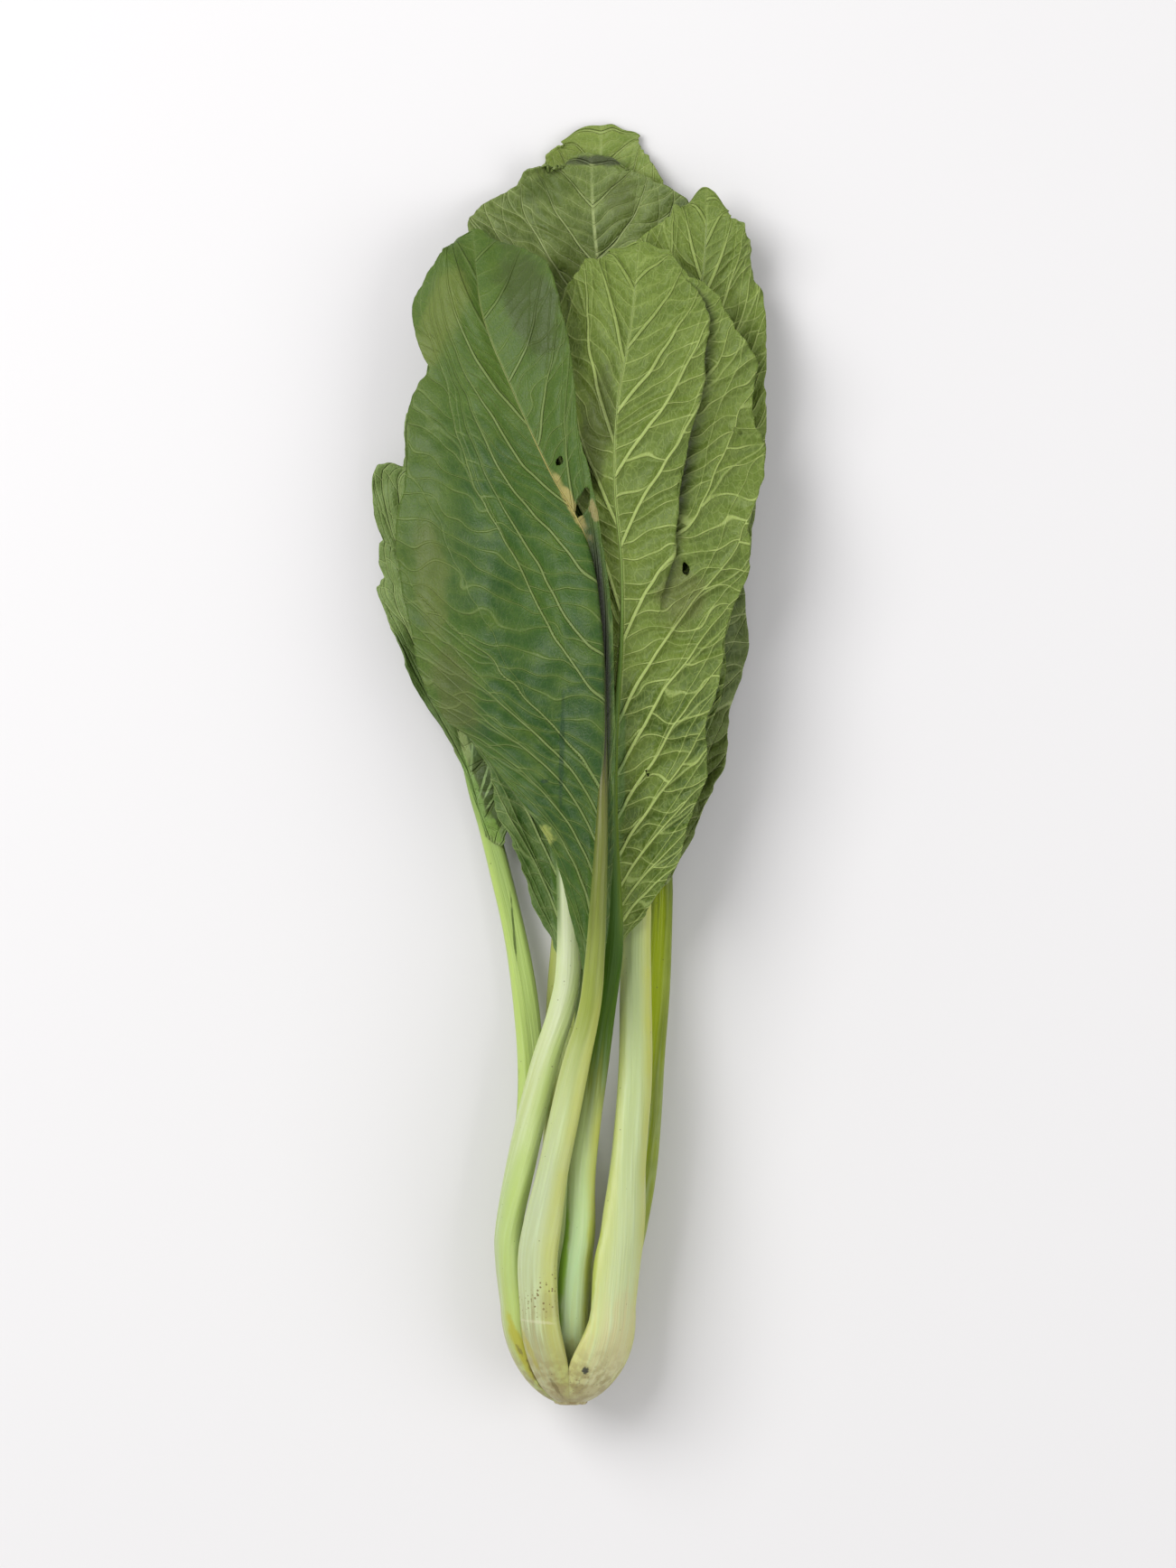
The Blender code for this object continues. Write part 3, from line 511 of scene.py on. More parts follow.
# %% The front right leaf
plan_leaf(
    name="leaf_front_right", outer_up=True, base=(84, 26), rib=(3.8, 5.6),
    ruffle=(4.5, 4.5, 2.2), lobes=(0.03, 8, 0.6),
    fold=((0.45, 0.62), 4, (0.45, 0.55, 0.64, 0.72, 0.79, 0.86),
          (0.3, 0.38, 0.457, 0.558, 0.68, 0.84)),
    petiole=(
        (0.6, -160, 30.4, 4.4, 6.4, 84), (1.3, -147.7, 31, 4.4, 6.6, 84),
        (2.7, -137, 31, 4.3, 6.6, 84), (3.4, -118.6, 30.4, 4, 6.6, 86),
        (6.9, -89.4, 29.4, 4, 6.4, 88), (9, -73.5, 30.6, 4, 6, 90),
    ),
    blade=(
        (11.4, -57, 32.2, 9.4, -56, 14, -54),
        (12.1, -40, 35.5, 5, -33, 26, -39),
        (11.8, -17, 37.5, -8, -6, 36, -16),
        (12.6, 6, 37.8, -17, 22, 40.5, 10),
        (14.6, 32, 36.8, -21, 50, 45.5, 36),
        (14.8, 57, 35.2, -21, 78, 52.5, 63),
        (12.8, 80, 33.6, -18, 104, 55.5, 92),
        (13.5, 103, 31, -11, 128, 52, 120),
        (17.5, 127, 26.5, 2, 144, 42, 137),
        (20, 152, 18.5, 20, 152, 20, 152),
    ),
    veins=((0.05, 0.15, 0.26, 0.37, 0.49, 0.61, 0.727, 0.84, 0.93),
           (0.025, 0.06, 0.1, 0.15, 0.205, 0.27, 0.345, 0.45, 0.58, 0.68, 0.77, 0.86, 0.94)),
    fray=0.8,
    relief=(0.7, 0.75, 0.55), spacing=0.66, tone="olive leaf",
    stalk=((-180, (0.45, 0.52, 0.24)), (-150, (0.44, 0.6, 0.31)),
           (-115, (0.42, 0.52, 0.22)), (-96, (0.16, 0.2, 0.03)),
           (-84, (0.06, 0.12, 0.006)), (-60, (0.036, 0.088, 0.004)),
           (-40, (0.05, 0.11, 0.015)), (40, (0.12, 0.2, 0.04)), (75, (0.26, 0.35, 0.1)),
           (150, (0.26, 0.34, 0.11))),
    edges=(0.35, 0.9, "olive", -112),
    advance=(0.12, 0.22, 0.29, 0.17, 0),
    holes=((33.5, 56, 1.1, 2, 10), (22.4, -3.6, 0.5, 1.3, 20),
           (48.5, 96.8, 1.8, 0.6, -20)),
    tip=(-0.05, 8.5, 0.25),
    lighter=(0.3, 0.5, 0.45),
    patches=((32, 48, 8, 9, 0, (0.11, 0.11, 0.035), 0.4),
             # painted shade in the gap between this blade and the front left leaf's edge
             (6, 92, 5, 22, -12, (0.045, 0.055, 0.015), 0.55),
             (14, -2, 2, 24, 0, (0.085, 0.17, 0.045), 0.6)),
    bend=((0.9,), 1),
    gloss=0.1,
    # painted light: a bright green strip in the groove beside the front left stalk, as of light
    # shining through
    stains=((-2.6, -137, 1.8, 26, -2, (0.24, 0.44, 0.03), 0.9),
            (5.4, -148, 1.4, 17, -4.4, (0.42, 0.47, 0.09), 0.75),
            (0.5, -173, 3, 4, 0, (0.34, 0.36, 0.12), 0.6)),
)

# %% [markdown]
# The front left leaf lies on top. Its blade is smooth, dark and bluish, with thin pale veins
# that run far forward, and insects have eaten two holes beside its midrib.

# %% The front left leaf
plan_leaf(
    name="leaf_front_left", outer_up=True, base=(116, 25), rib=(3.1, 5.2),
    ruffle=(4, 3.5, 0), lobes=(0.02, 7, 1.3),
    petiole=(
        (-9.2, -160, 36.4, 6.2, 6.8, 120), (-9.8, -147.7, 37.2, 6.3, 7, 118),
        (-8.7, -137, 37.6, 6, 7, 113), (-5, -118.6, 38, 4.5, 7, 105),
        (1.3, -89.4, 38, 4.2, 6.6, 96), (4.8, -76, 38.8, 3.4, 6.2, 92),
    ),
    blade=(
        (6.6, -64, 40.2, 4, -63, 9.2, -62),
        (8.2, -38, 43, -5, -27, 12.2, -34),
        (9.2, -15, 44.6, -22, -2, 12.8, -8),
        (9.6, 12, 44.8, -38.5, 20, 12.8, 18),
        (8.7, 38, 43.4, -47, 52, 11.8, 44),
        (4.6, 64, 41.2, -49, 82, 8.2, 70),
        (-6.5, 85, 38.6, -47.5, 112, 2.2, 98),
        (-17, 108, 34.6, -46, 133, -1.5, 128),
        (-26, 131, 28, -39, 148, -9, 148),
        (-29, 156, 19, -29, 156, -29, 156),
    ),
    veins=((0.05, 0.11, 0.165, 0.203, 0.234, 0.353, 0.41, 0.5, 0.61, 0.73, 0.86),
           (0.06, 0.2, 0.34, 0.48, 0.6, 0.7, 0.79, 0.88)),
    fray=0.35,
    notches=((-1, 0.7, 6, 0.06, 0.03), (-1, 0.43, -3.8, 0.07, 0.09),
             (-1, 0.285, -4, 0.018, 0.06)),
    relief=(0.32, 0.5, 0.8), spacing=0.68, tone="smooth leaf",
    stalk=((-190, (0.46, 0.43, 0.22)), (-168, (0.31, 0.31, 0.15)),
           (-156, (0.4, 0.45, 0.24)), (-130, (0.38, 0.44, 0.25)),
           (-100, (0.37, 0.43, 0.17)), (-72, (0.24, 0.29, 0.05)),
           # painted shade: from y 4 to 56 the midrib is near black where it lies deep in the cleft
           (-42, (0.14, 0.17, 0.022)), (-8, (0.1, 0.105, 0.018)), (4, (0.03, 0.03, 0.01)),
           (56, (0.025, 0.025, 0.01)), (62, (0.34, 0.29, 0.09)), (86, (0.3, 0.27, 0.08)),
           (98, (0.19, 0.23, 0.06)), (150, (0.2, 0.24, 0.07))),
    edges=(0.2, 0.7, "olive", -80),
    advance=(0.15, 0.18, 0.22, 0.53, 0.42, 0.31, 0.2, 0.1, 0),
    cleft=(0.26, 0.56, 2.6),
    holes=((-3.4, 87.3, 1, 1.5, -25), (3.4, 75, 1.8, 4.6, -20)),
    # painted shade: the first patch is a dark line along a crease of the blade
    patches=((-2.6, 3.6, 0.8, 17, -1.5, (0.01, 0.038, 0.012), 0.6),
             (-7.7, -5.9, 1.4, 0.6, 0, (0.008, 0.03, 0.014), 0.6),
             (-7.2, -21.8, 2.6, 3.4, 10, (0.26, 0.3, 0.07), 0.85),
             # painted shade: a dark patch where the blade curves away near its top
             (-12, 134, 8.5, 17, 25, (0.04, 0.062, 0.009), 0.75),
             (-38, 130, 6, 19, -22, (0.15, 0.18, 0.035), 0.45),
             (-34, 20, 7, 14, 15, (0.09, 0.095, 0.025), 0.4),
             (-41, 52, 5, 20, 5, (0.11, 0.13, 0.025), 0.4),
             (0, 75, 1.5, 10.5, 29, (0.33, 0.28, 0.09), 0.85),
             (7, 72.5, 1.4, 3.4, 20, (0.32, 0.25, 0.1), 0.6)),
    tip=(0.15, 5, 0.5),
    lighter=(0.55, 0.78, 0.6),
    washes=((-30, -48, 0.6, (0.09, 0.135, 0.022)),),
    stains=((-7, -159, 4, 4, 0, (0.26, 0.22, 0.08), 0.25),
            (-10.5, -163.5, 5.5, 0.5, -5, (0.6, 0.56, 0.4), 0.3),
            (-12, -172, 0.8, 8, 24, (0.36, 0.32, 0.04), 0.6),
            (-2, -186, 8, 3.4, 0, (0.36, 0.31, 0.14), 0.5),
            (-4.5, -183, 0.6, 4, 30, (0.14, 0.1, 0.03), 0.6)),
    bend=((1, 1, 0.8, 1.45, 1.45, 1.45, 1.45, 1.45, 1.45), 0.45),
    calm=0.4,
    flank=0.25,
    specks=((-6, -155, 4.5, 8, -15, 0.9), (-11, -158.5, 5.5, 4.5, 0, 0.6)),
)

# %% [markdown]
# Leaves that lie on each other must not cross. The pile remembers how high everything laid so
# far reaches, on a grid of 1 mm. Each new blade lies 2 mm above it and bridges its dips, as a
# real leaf does. A cloth simulation could do this too, but a height grid is quicker, gives the
# same result on every run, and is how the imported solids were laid.


# %% The pile of leaves
def shifted(values, step, axis):
    """The values moved along an axis, with the end value repeated."""
    index = np.clip(np.arange(values.shape[axis]) - step, 0, values.shape[axis] - 1)
    return np.take(values, index, axis=axis)


def bridge(values, reach, axis):
    """Smooths values along an axis and never goes below them: the highest value
    within reach, then twice the average over half of it."""
    steps = range(-reach, reach + 1)
    high = np.max([shifted(values, s, axis) for s in steps], axis=0)
    half = range(-(reach // 2), reach // 2 + 1)
    for _ in range(2):
        high = np.mean([shifted(high, s, axis) for s in half], axis=0)
    return high


class Pile:
    """The height of everything laid so far, on a grid of 1 mm."""

    def __init__(self):
        size = (PILE_Y[1] - PILE_Y[0] + 1, PILE_X[1] - PILE_X[0] + 1)
        self.top = np.full(size, BLADE_THICKNESS / 2.0 - BLADE_LIFT)

    def add(self, x, y, z):
        """Raises the pile to the points of a leaf that was laid on it."""
        column = np.clip(np.rint(x - PILE_X[0]).astype(int), 0, self.top.shape[1] - 1)
        row = np.rint(y - PILE_Y[0]).astype(int)
        inside = (row >= 0) & (row < self.top.shape[0])
        np.maximum.at(self.top, (row[inside], column[inside]), z[inside])

    def spread(self):
        """The surface that the next leaf can lie on: close to the stalks in the
        neck, and bridging the dips where the blades are wide."""
        near = bridge(bridge(self.top, NECK_REACH, 0), NECK_REACH, 1)
        wide = bridge(bridge(self.top, BLADE_REACH, 0), BLADE_REACH, 1)
        y = np.arange(PILE_Y[0], PILE_Y[1] + 1)[:, None]
        return near + (wide - near) * smooth_step(*BLADES_Y, y)


def height(field, x, y):
    """The height of a field at x, y, read between its grid points."""
    u = np.clip(x - PILE_X[0], 0.0, field.shape[1] - JUST_INSIDE)
    v = np.clip(y - PILE_Y[0], 0.0, field.shape[0] - JUST_INSIDE)
    i, j = u.astype(int), v.astype(int)
    fu, fv = u - i, v - j
    low = field[j, i] * (1.0 - fu) + field[j, i + 1] * fu
    high = field[j + 1, i] * (1.0 - fu) + field[j + 1, i + 1] * fu
    return low * (1.0 - fv) + high * fv


def highest(field, x, y, width):
    """The highest point of a field across a stalk."""
    reach = width + STALK_GAP
    return np.max([height(field, x + side * reach, y) for side in (-1, 0, 1)], axis=0)


print("the empty pile has", Pile().top.shape, "squares")

# %% [markdown]
# A stalk's section is a crescent: round on its outer side, a little hollow inside, and curled
# round the axis of the head where the stalks clasp each other in the bulb. Below the shoulder
# of the bulb the stalks close in on the crown, thin out and turn to their place round it.


# %% The section of a stalk, and its foot
def section(rows, angles):
    """The outline of a stalk at each row, as x, z for each angle."""
    x, y, z, width, thickness, facing = (c[:, None] for c in rows.T)
    across, out = np.cos(angles), np.sin(angles)
    full = np.sign(out) * np.abs(out) ** OUTER_FACE
    middle, more = INNER_FACE
    inner = np.where(out < 0.0, middle + more * across**2, 1.0)
    to_axis = np.hypot(x, z - BULB_AXIS_Z)
    ring = to_axis + (CUP_RADIUS - to_axis) * smooth_step(CUP_FROM_Y, CUP_TO_Y, y)
    face = np.radians(facing)
    turn = face - width * across / ring
    out_by = ring + thickness / 2.0 * full * inner
    px = x - ring * np.cos(face) + out_by * np.cos(turn)
    pz = z - ring * np.sin(face) + out_by * np.sin(turn)
    return np.stack([px, np.maximum(pz, 0.0)], axis=-1)


def base_rows(first, base, rings_y):
    """The rounded foot of a stalk, below its first row."""
    x, _, z, width, thickness, _ = first
    z -= BULB_AXIS_Z
    radius, angle = math.hypot(x, z), math.degrees(math.atan2(z, x)) % 360.0
    spread = math.degrees(width / radius)
    rows = []
    for y in rings_y:
        q = math.sqrt(1.0 - ((BULB_SHOULDER_Y - y) / BULB_ROUND) ** 2)
        share = float(smooth_step(-BASE_TURN_Y[0], -BASE_TURN_Y[1], -y))
        facing = angle + (base[0] - angle) * share
        half = math.radians(spread + (base[1] - spread) * share)
        face = math.radians(facing)
        rows.append((radius * q * math.cos(face), y,
                     BULB_AXIS_Z + radius * q * math.sin(face),
                     half * radius * q,
                     thickness * (BASE_THINNEST + (1.0 - BASE_THINNEST) * q * q),
                     facing))
    return rows


print("stalks close in on the crown below y =", BULB_SHOULDER_Y, "mm")

# %% [markdown]
# A leaf laid on the pile has a spine, which is lifted until it lies clear, and a sheet, which
# gives the point of the blade at any place across it (u, from -1 to 1) and along it (v, from 0
# to 1). Working with such a formula, and not with a finished mesh, lets the blade be sampled
# as finely as its veins need.


# %% A leaf laid on the pile
class Leaf:
    """One leaf laid on the pile: its spine from base to tip, and its blade."""

    def __init__(self, plan, pile):
        self.plan = plan
        self.name = plan["name"]
        self.blade = np.array(plan["blade"], float)
        turn, half, _ = plan["tip"]
        across = half * np.array([math.cos(turn), math.sin(turn)])
        self.blade[-1, 3:5] -= across
        self.blade[-1, 5:7] += across
        self.petiole = len(plan["petiole"])
        self.last = self.petiole + len(self.blade) - 1
        self.side = 1.0 if plan["outer_up"] else -1.0
        self.field = pile.spread()
        self.close = bridge(bridge(pile.top, STALK_REACH, 0), STALK_REACH, 1)
        self.t = np.linspace(0.0, self.last, SPINE_SAMPLES)
        self.spine = self.spine_rows()
        self.settle()
        self.join(pile)

    def blade_share(self, t):
        """How far along the blade t is: 0 at its base and 1 at its tip."""
        return np.clip((t - self.petiole) / (self.last - self.petiole), 0.0, 1.0)

    def row(self, v):
        """t at v along the blade, the other way round."""
        return self.petiole + v * (self.last - self.petiole)

    def spine_rows(self):
        """x, y, z, half width, thickness and facing all along the leaf."""
        facing = 90.0 if self.plan["outer_up"] else 270.0
        width, thickness = self.plan["rib"]
        rows = list(self.plan["petiole"])
        rows += [(x, y, z, width, thickness, facing) for x, y, z, *_ in self.plan["blade"]]
        spine = through(rows, self.t)
        on_blade = self.t >= self.petiole
        left = 1.0 - self.blade_share(self.t[on_blade])
        for column, full, tip, taper in zip((3, 4), self.plan["rib"], RIB_TIP, RIB_TAPER):
            spine[on_blade, column] = tip + (full - tip) * left**taper
        return spine

    def settle(self):
        """Lifts the spine until the stalk and the blade lie clear of the pile."""
        x, y, z, width, thickness, _ = self.spine.T
        on_pile = y > PILE_Y[0] + NECK_REACH
        need = highest(self.close, x, y, width) + STALK_GAP + thickness / 2.0
        if self.side > 0:
            sheet = highest(self.field, x, y, width) + BLADE_LIFT
            sheet += BLADE_THICKNESS / 2.0 + RIB_GAP + thickness / 2.0
            need = np.where(self.t > self.petiole - SHEET_MARGIN, sheet, need)
        lift = np.where(on_pile, np.maximum(need - z, 0.0), 0.0)
        self.spine[:, 2] += bridge(lift, LIFT_REACH, 0)

    def along(self, t):
        """The spine at t, counted in rows."""
        return np.stack([np.interp(t, self.t, c) for c in self.spine.T], axis=-1)

    def sheet(self, u, v, frill=0.0):
        """Points of the blade at u across and v along it, and how far each is from the
        midrib. frill moves the edge in or out, as a share of the blade's reach."""
        spine = self.along(self.row(v))
        edges = through(self.blade[:, 3:], v * (len(self.blade) - 1))
        edge = np.where((u < 0)[:, None], edges[:, :2], edges[:, 2:])
        size, count, phase = self.plan["lobes"]
        turn = 2.0 * math.pi * v
        lobe = 1.0 + size * np.sin(turn * count + phase * np.sign(u)) * np.abs(u) ** 2
        reach = (edge - spine[:, :2]) * (np.abs(u) * (lobe + frill))[:, None]
        x, y = spine[:, 0] + reach[:, 0], spine[:, 1] + reach[:, 1]
        away = np.hypot(reach[:, 0], reach[:, 1])
        below = spine[:, 4] / 2.0 + RIB_GAP + BLADE_THICKNESS / 2.0
        lying = height(self.field, x, y) + BLADE_LIFT
        above = spine[:, 2] - self.side * below - lying
        above = 0.5 * (above + np.sqrt(above**2 + DRAPE_SOFTNESS))
        band = np.maximum(away - spine[:, 3] - RIB_SHOULDER, 0.0)
        size, count, phase = self.plan["ruffle"]
        wave = 0.5 + 0.5 * np.sin(turn * count + phase + SIDE_PHASE * np.sign(u))
        z = lying + above * bell(band, DRAPE_REACH)
        z += size * wave * smooth_step(*RUFFLE_START, away) * np.abs(u) ** 2
        return x, y, z, away

    def fold_share(self, v):
        """How strong the fold is along the blade."""
        return smooth_step(*self.plan["fold"][0], v) * (1.0 - smooth_step(*FOLD_FADE, v))

    def fold_line(self, v):
        """Where the line of the fold lies across the right half."""
        return np.interp(v, *self.plan["fold"][2:])

    def fold_rise(self, u, v):
        """How far the fold lifts the blade at a point before its line, in mm."""
        full = self.plan["fold"][1] * self.fold_share(v)
        return full * smooth_step(FOLD_FOOT, 1.0, u / self.fold_line(v))

    def join(self, pile):
        """Adds the leaf to the pile for the next one to lie on."""
        across, along = BLADE_SAMPLES
        u, v = np.meshgrid(np.linspace(-1.0, 1.0, across), np.linspace(0.0, 1.0, along))
        u, v = u.ravel(), v.ravel()
        x, y, z, _ = self.sheet(u, v)
        if "fold" in self.plan:
            z += self.fold_rise(u, v) * (u < self.fold_line(v))
        pile.add(x, y, z + BLADE_THICKNESS / 2.0)
        for angle in np.arange(STALK_SAMPLES) * 2.0 * math.pi / STALK_SAMPLES:
            x, z = section(self.spine, np.array([angle])).reshape(-1, 2).T
            pile.add(x, self.spine[:, 1], z)


pile = Pile()
leaves = {plan["name"]: Leaf(plan, pile) for plan in PLANS}
print("laid", len(leaves), "leaves, the pile is", round(float(pile.top.max()), 1), "mm high")

# %% [markdown]
# Every mesh below is made the same way: points and faces worked out with numpy, turned to
# metres, smoothed, and given its finish as its material. Extra numbers that a finish needs
# at each point, such as how far it is from a vein, ride along as attributes.


# %% From points to a piece of the head
SHEET = 0.5


def make_piece(name, points, faces, finish, slot, **attributes):
    """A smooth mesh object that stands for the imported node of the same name."""
    mesh = bpy.data.meshes.new(name)
    skin = SHEET / 2.0 if slot == "blade" else 0.0
    low, high = [np.array(corner) / MM for corner in (cad_low, cad_high)]
    points = np.clip(points, low + skin, high - skin)
    mesh.from_pydata((points * MM).tolist(), [], faces)
    mesh.validate()
    for title, values in attributes.items():
        held = mesh.attributes.new(title, "FLOAT_VECTOR", "POINT")
        held.data.foreach_set("vector", np.asarray(values, np.float32).ravel())
    mesh.materials.append(finish)
    mesh.shade_smooth()
    piece = add_object(name + "_fine", mesh)
    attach(piece, "root")
    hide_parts(name)
    return piece


# %% [markdown]
# Side veins leave the midrib one after another and bend forward as they run out to the edge.
# Instead of drawing each vein, every point of the blade gets a vein number that grows smoothly
# along the blade: whole numbers lie on a vein. Both the mesh and the finish read it, so the
# raised veins and their pale lines fall in the same place, and the lines stay sharp however
# coarse the mesh is.

# %% How side veins run
# how far veins waver as a share of the room between them, in layers with a size, a scale in
# mm and a seed, and how far from the midrib they waver fully
VEIN_WANDER = ((0.22, 26.0, 7), (0.06, 7.0, 8))
WANDER_FROM = 12.0
# how far back the start of a vein is looked for, and in how many halvings
START_REACH = 0.75
HALVINGS = 20
# how many spare veins there are, and their steps before and after the others
SPARE_VEINS = 8
SPARE_STEPS = (0.1, 0.07)
# limits that keep the room between veins from becoming endless
WIDEST_GAP = 30.0
LEAST_AREA = 1e-4


def vein_start(advance, bend, right, u, v):
    """Where the side vein through a point left the midrib, found by halving. advance
    is how far forward veins run that start at even steps along the blade, and bend is
    above 1 where they bend forward on the way, below 1 where they bend outward. right
    is how far forward they run on the right half, as a share of the left."""
    low, high = v - START_REACH, v.copy()
    starts, stops = [np.linspace(0.0, 1.0, len(values)) for values in (advance, bend)]
    share = np.where(u > 0, right, 1.0)
    for _ in range(HALVINGS):
        middle = (low + high) / 2.0
        power = np.interp(middle, stops, bend)
        ahead = np.interp(middle, starts, advance) * share * np.abs(u) ** power
        beyond = middle + ahead > v
        low, high = np.where(beyond, low, middle), np.where(beyond, middle, high)
    return (low + high) / 2.0


def vein_numbers(starts, start):
    """The vein number of each start: 0 on the first vein, 1 on the second. Spare veins
    before the first and after the last carry the count on."""
    early, late = SPARE_STEPS
    before = [starts[0] - early * i for i in range(SPARE_VEINS, 0, -1)]
    after = [starts[-1] + late * i for i in range(1, SPARE_VEINS)]
    places = np.array([*before, *starts, *after])
    return np.interp(start, places, np.arange(len(places)) - float(SPARE_VEINS))


def spacing(number, x, y, shape):
    """How many mm lie between one vein number and the next, at each point."""
    (n_v, n_u), (x_v, x_u), (y_v, y_u) = [np.gradient(a.reshape(shape)) for a in (number, x, y)]
    area = x_u * y_v - x_v * y_u
    area = np.where(np.abs(area) < LEAST_AREA, LEAST_AREA, area)
    slope = np.hypot(n_u * y_v - n_v * y_u, n_v * x_u - n_u * x_v) / np.abs(area)
    return (1.0 / np.maximum(slope, 1.0 / WIDEST_GAP)).ravel()


def veins_at(leaf, u, v, x, y, away, shape):
    """The vein number at each point, and the room between veins there."""
    start = vein_start(leaf.plan["advance"], *leaf.plan["bend"], u, v)
    bend = layered(VEIN_WANDER, x, y) * smooth_step(0.0, WANDER_FROM, away)
    left, right = [vein_numbers(starts, start) + bend for starts in leaf.plan["veins"]]
    gaps = [spacing(number, x, y, shape) for number in (left, right)]
    return np.where(u < 0, left, right), np.where(u < 0, *gaps)


half_way = vein_start((0.2, 0.3, 0.3, 0.2, 0.0), (1.4,), 1.0, np.array([1.0]), np.array([0.7]))
print("the vein that ends at 0.7 of the blade starts at", round(float(half_way[0]), 2))

# %% [markdown]
# Between its veins a blade bulges like a quilt, and each vein stands up on the outer side and
# is sunk in the inner side. These are real bends of the thin sheet, so they are made by moving
# its points, and only the finest net of veins is left to the finish. Each side vein has two
# branches: they leave it at a share of the way out and end so many vein numbers beside it.

# %% The relief of a blade
# the branches of a side vein, how they fade in, and how high and wide they are
FORKS = ((0.32, 0.5), (0.52, -0.42))
FORK_EASE = 0.15
FORK_HEIGHT = 0.5
FORK_WIDTH = 0.45
# the width of a side vein and what it has more where it is thick, how much it
# gets thinner, how far beside the midrib it begins, and the room that it needs to show
RIDGE_WIDTH = (0.3, 0.5)
RIDGE_TAPER = 0.65
RIDGE_FROM = 3.0
VEIN_ROOM = (2.0, 6.5)
# where the quilt begins beside the midrib, and how it gets calm at the edge
QUILT_FROM = (3.0, 12.0)
QUILT_CALM = (0.8, 0.45, 0.9)
# uneven bumps: the size, the scale in mm and the seed of each, and where they begin
PUCKERS = ((0.5, 5.0, 2), (1.0, 9.0, 3), (1.6, 21.0, 4))
PUCKER_FROM = (2.0, 16.0)


def near_line(number, gap):
    """The distance in mm to the nearest whole vein number."""
    return np.abs((number + 0.5) % 1.0 - 0.5) * gap


def relief(plan, x, y, number, gap, out, away):
    """How far the sheet is moved to its outer side, in mm."""
    ridge, quilt, pucker = plan["relief"]
    taper = 1.0 - RIDGE_TAPER * out
    room = smooth_step(*VEIN_ROOM, gap)
    fade = smooth_step(0.0, RIDGE_FROM, away) * (1.0 - smooth_step(plan["calm"], 1.0, out)) * room
    thin, more = RIDGE_WIDTH
    raised = ridge * bell(near_line(number, gap), thin + more * taper) * taper
    for first, size in FORKS:
        lines = near_line(number - size * smooth_step(first, 1.0, out), gap)
        shown = smooth_step(first, first + FORK_EASE, out)
        raised = np.maximum(raised, FORK_HEIGHT * ridge * shown * bell(lines, FORK_WIDTH))
    sunk = quilt * np.sin(math.pi * number) ** 2 * smooth_step(*QUILT_FROM, away)
    less, start, full = QUILT_CALM
    sunk *= 1.0 - less * smooth_step(start, full, out)
    rough = pucker * layered(PUCKERS, x, y) * smooth_step(*PUCKER_FROM, away)
    return (raised - sunk) * fade + rough


print("branches leave the side veins at:", [first for first, _ in FORKS])

# %% [markdown]
# The blade is a grid of points in rows across the leaf, as fine as its veins need. Its height
# is smoothed over a few millimetres, because a real blade is too stiff to follow every bump
# beneath it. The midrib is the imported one, but it gets slimmer towards the tip.

# %% The grid of a blade
# how far heights are smoothed in mm, and how much like a bell
SMOOTH_REACH = 3.5
SMOOTH_BELL = 0.55
FEWEST_COLUMNS = 8
# how much slimmer the midrib gets, between two places along the blade
RIB_SLIM = (0.72, 0.02, 0.7)


def smoothed(grid, step):
    """The grid averaged over a few millimetres in both directions."""
    reach = max(1, round(SMOOTH_REACH / step))
    steps = range(-reach, reach + 1)
    weights = bell(np.array(steps), SMOOTH_BELL * reach)
    weights /= weights.sum()
    for axis in (0, 1):
        grid = np.sum([w * shifted(grid, s, axis) for w, s in zip(weights, steps)], axis=0)
    return grid


def blade_grid(leaf):
    """u and v of every point, in rows, and the length of the blade."""
    step = leaf.plan["spacing"]
    middle, left, right = leaf.blade[:, :2], leaf.blade[:, 3:5], leaf.blade[:, 5:7]
    length = np.hypot(*np.diff(middle, axis=0).T).sum()
    halves = [np.hypot(*(edge - middle).T).max() for edge in (left, right)]
    to_left, to_right = [max(FEWEST_COLUMNS, math.ceil(half / step)) for half in halves]
    us = np.concatenate([np.linspace(-1, 0, to_left + 1), np.linspace(0, 1, to_right + 1)[1:]])
    vs = np.linspace(0.0, 1.0, math.ceil(length / step) + 1)
    u, v = np.meshgrid(us, vs)
    return u, v, length


def slim(v):
    """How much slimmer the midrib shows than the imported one, at v along the blade."""
    less, first, last = RIB_SLIM
    return 1.0 - less * smooth_step(first, last, v)


print("the blade smooths over", SMOOTH_REACH, "mm")

# %% [markdown]
# Three things break the plain form of a blade. A fold turns its edge up and tucks it under. A
# cleft is a narrow valley, in which the midrib sinks between a steep wall on its left and the
# other half. Notches and frays cut into the edge, and a notch
# of negative depth makes a lobe.

# %% Fold, cleft and edge
# a fold: how much of the half it takes up, where it has dropped again, how far
# it is tucked under in mm, and where the painted shade under it is deepest and how wide
FOLD_ROOM = 0.10
FOLD_DROP = 0.4
FOLD_TUCK = 2.6
FOLD_SHADE = (0.42, 0.3)
# a cleft: how gently it opens and closes, where it begins beside the midrib, the
# width and steepness of its wall, how far the wall leans, and how far the painted shade reaches
CLEFT_EASE = 0.07
CLEFT_START = 0.6
CLEFT_WALL = (11.0, 0.45)
CLEFT_LEAN = (1.3, 1.6, 1.6)
CLEFT_SHADE = (0.9, 3.0)
# frays, in layers too, how their two sides differ, and how near the edge they are
FRILL = ((1.6, 7.0, 5), (0.9, 2.4, 6))
FRILL_SIDES = 40.0
FRILL_OUT = 6
# limits for frays and notches near the tip, and how pointed a notch is
LEAST_REACH = 6.0
NOTCH_POINT = 1.3
NOTCH_MOST = 0.6


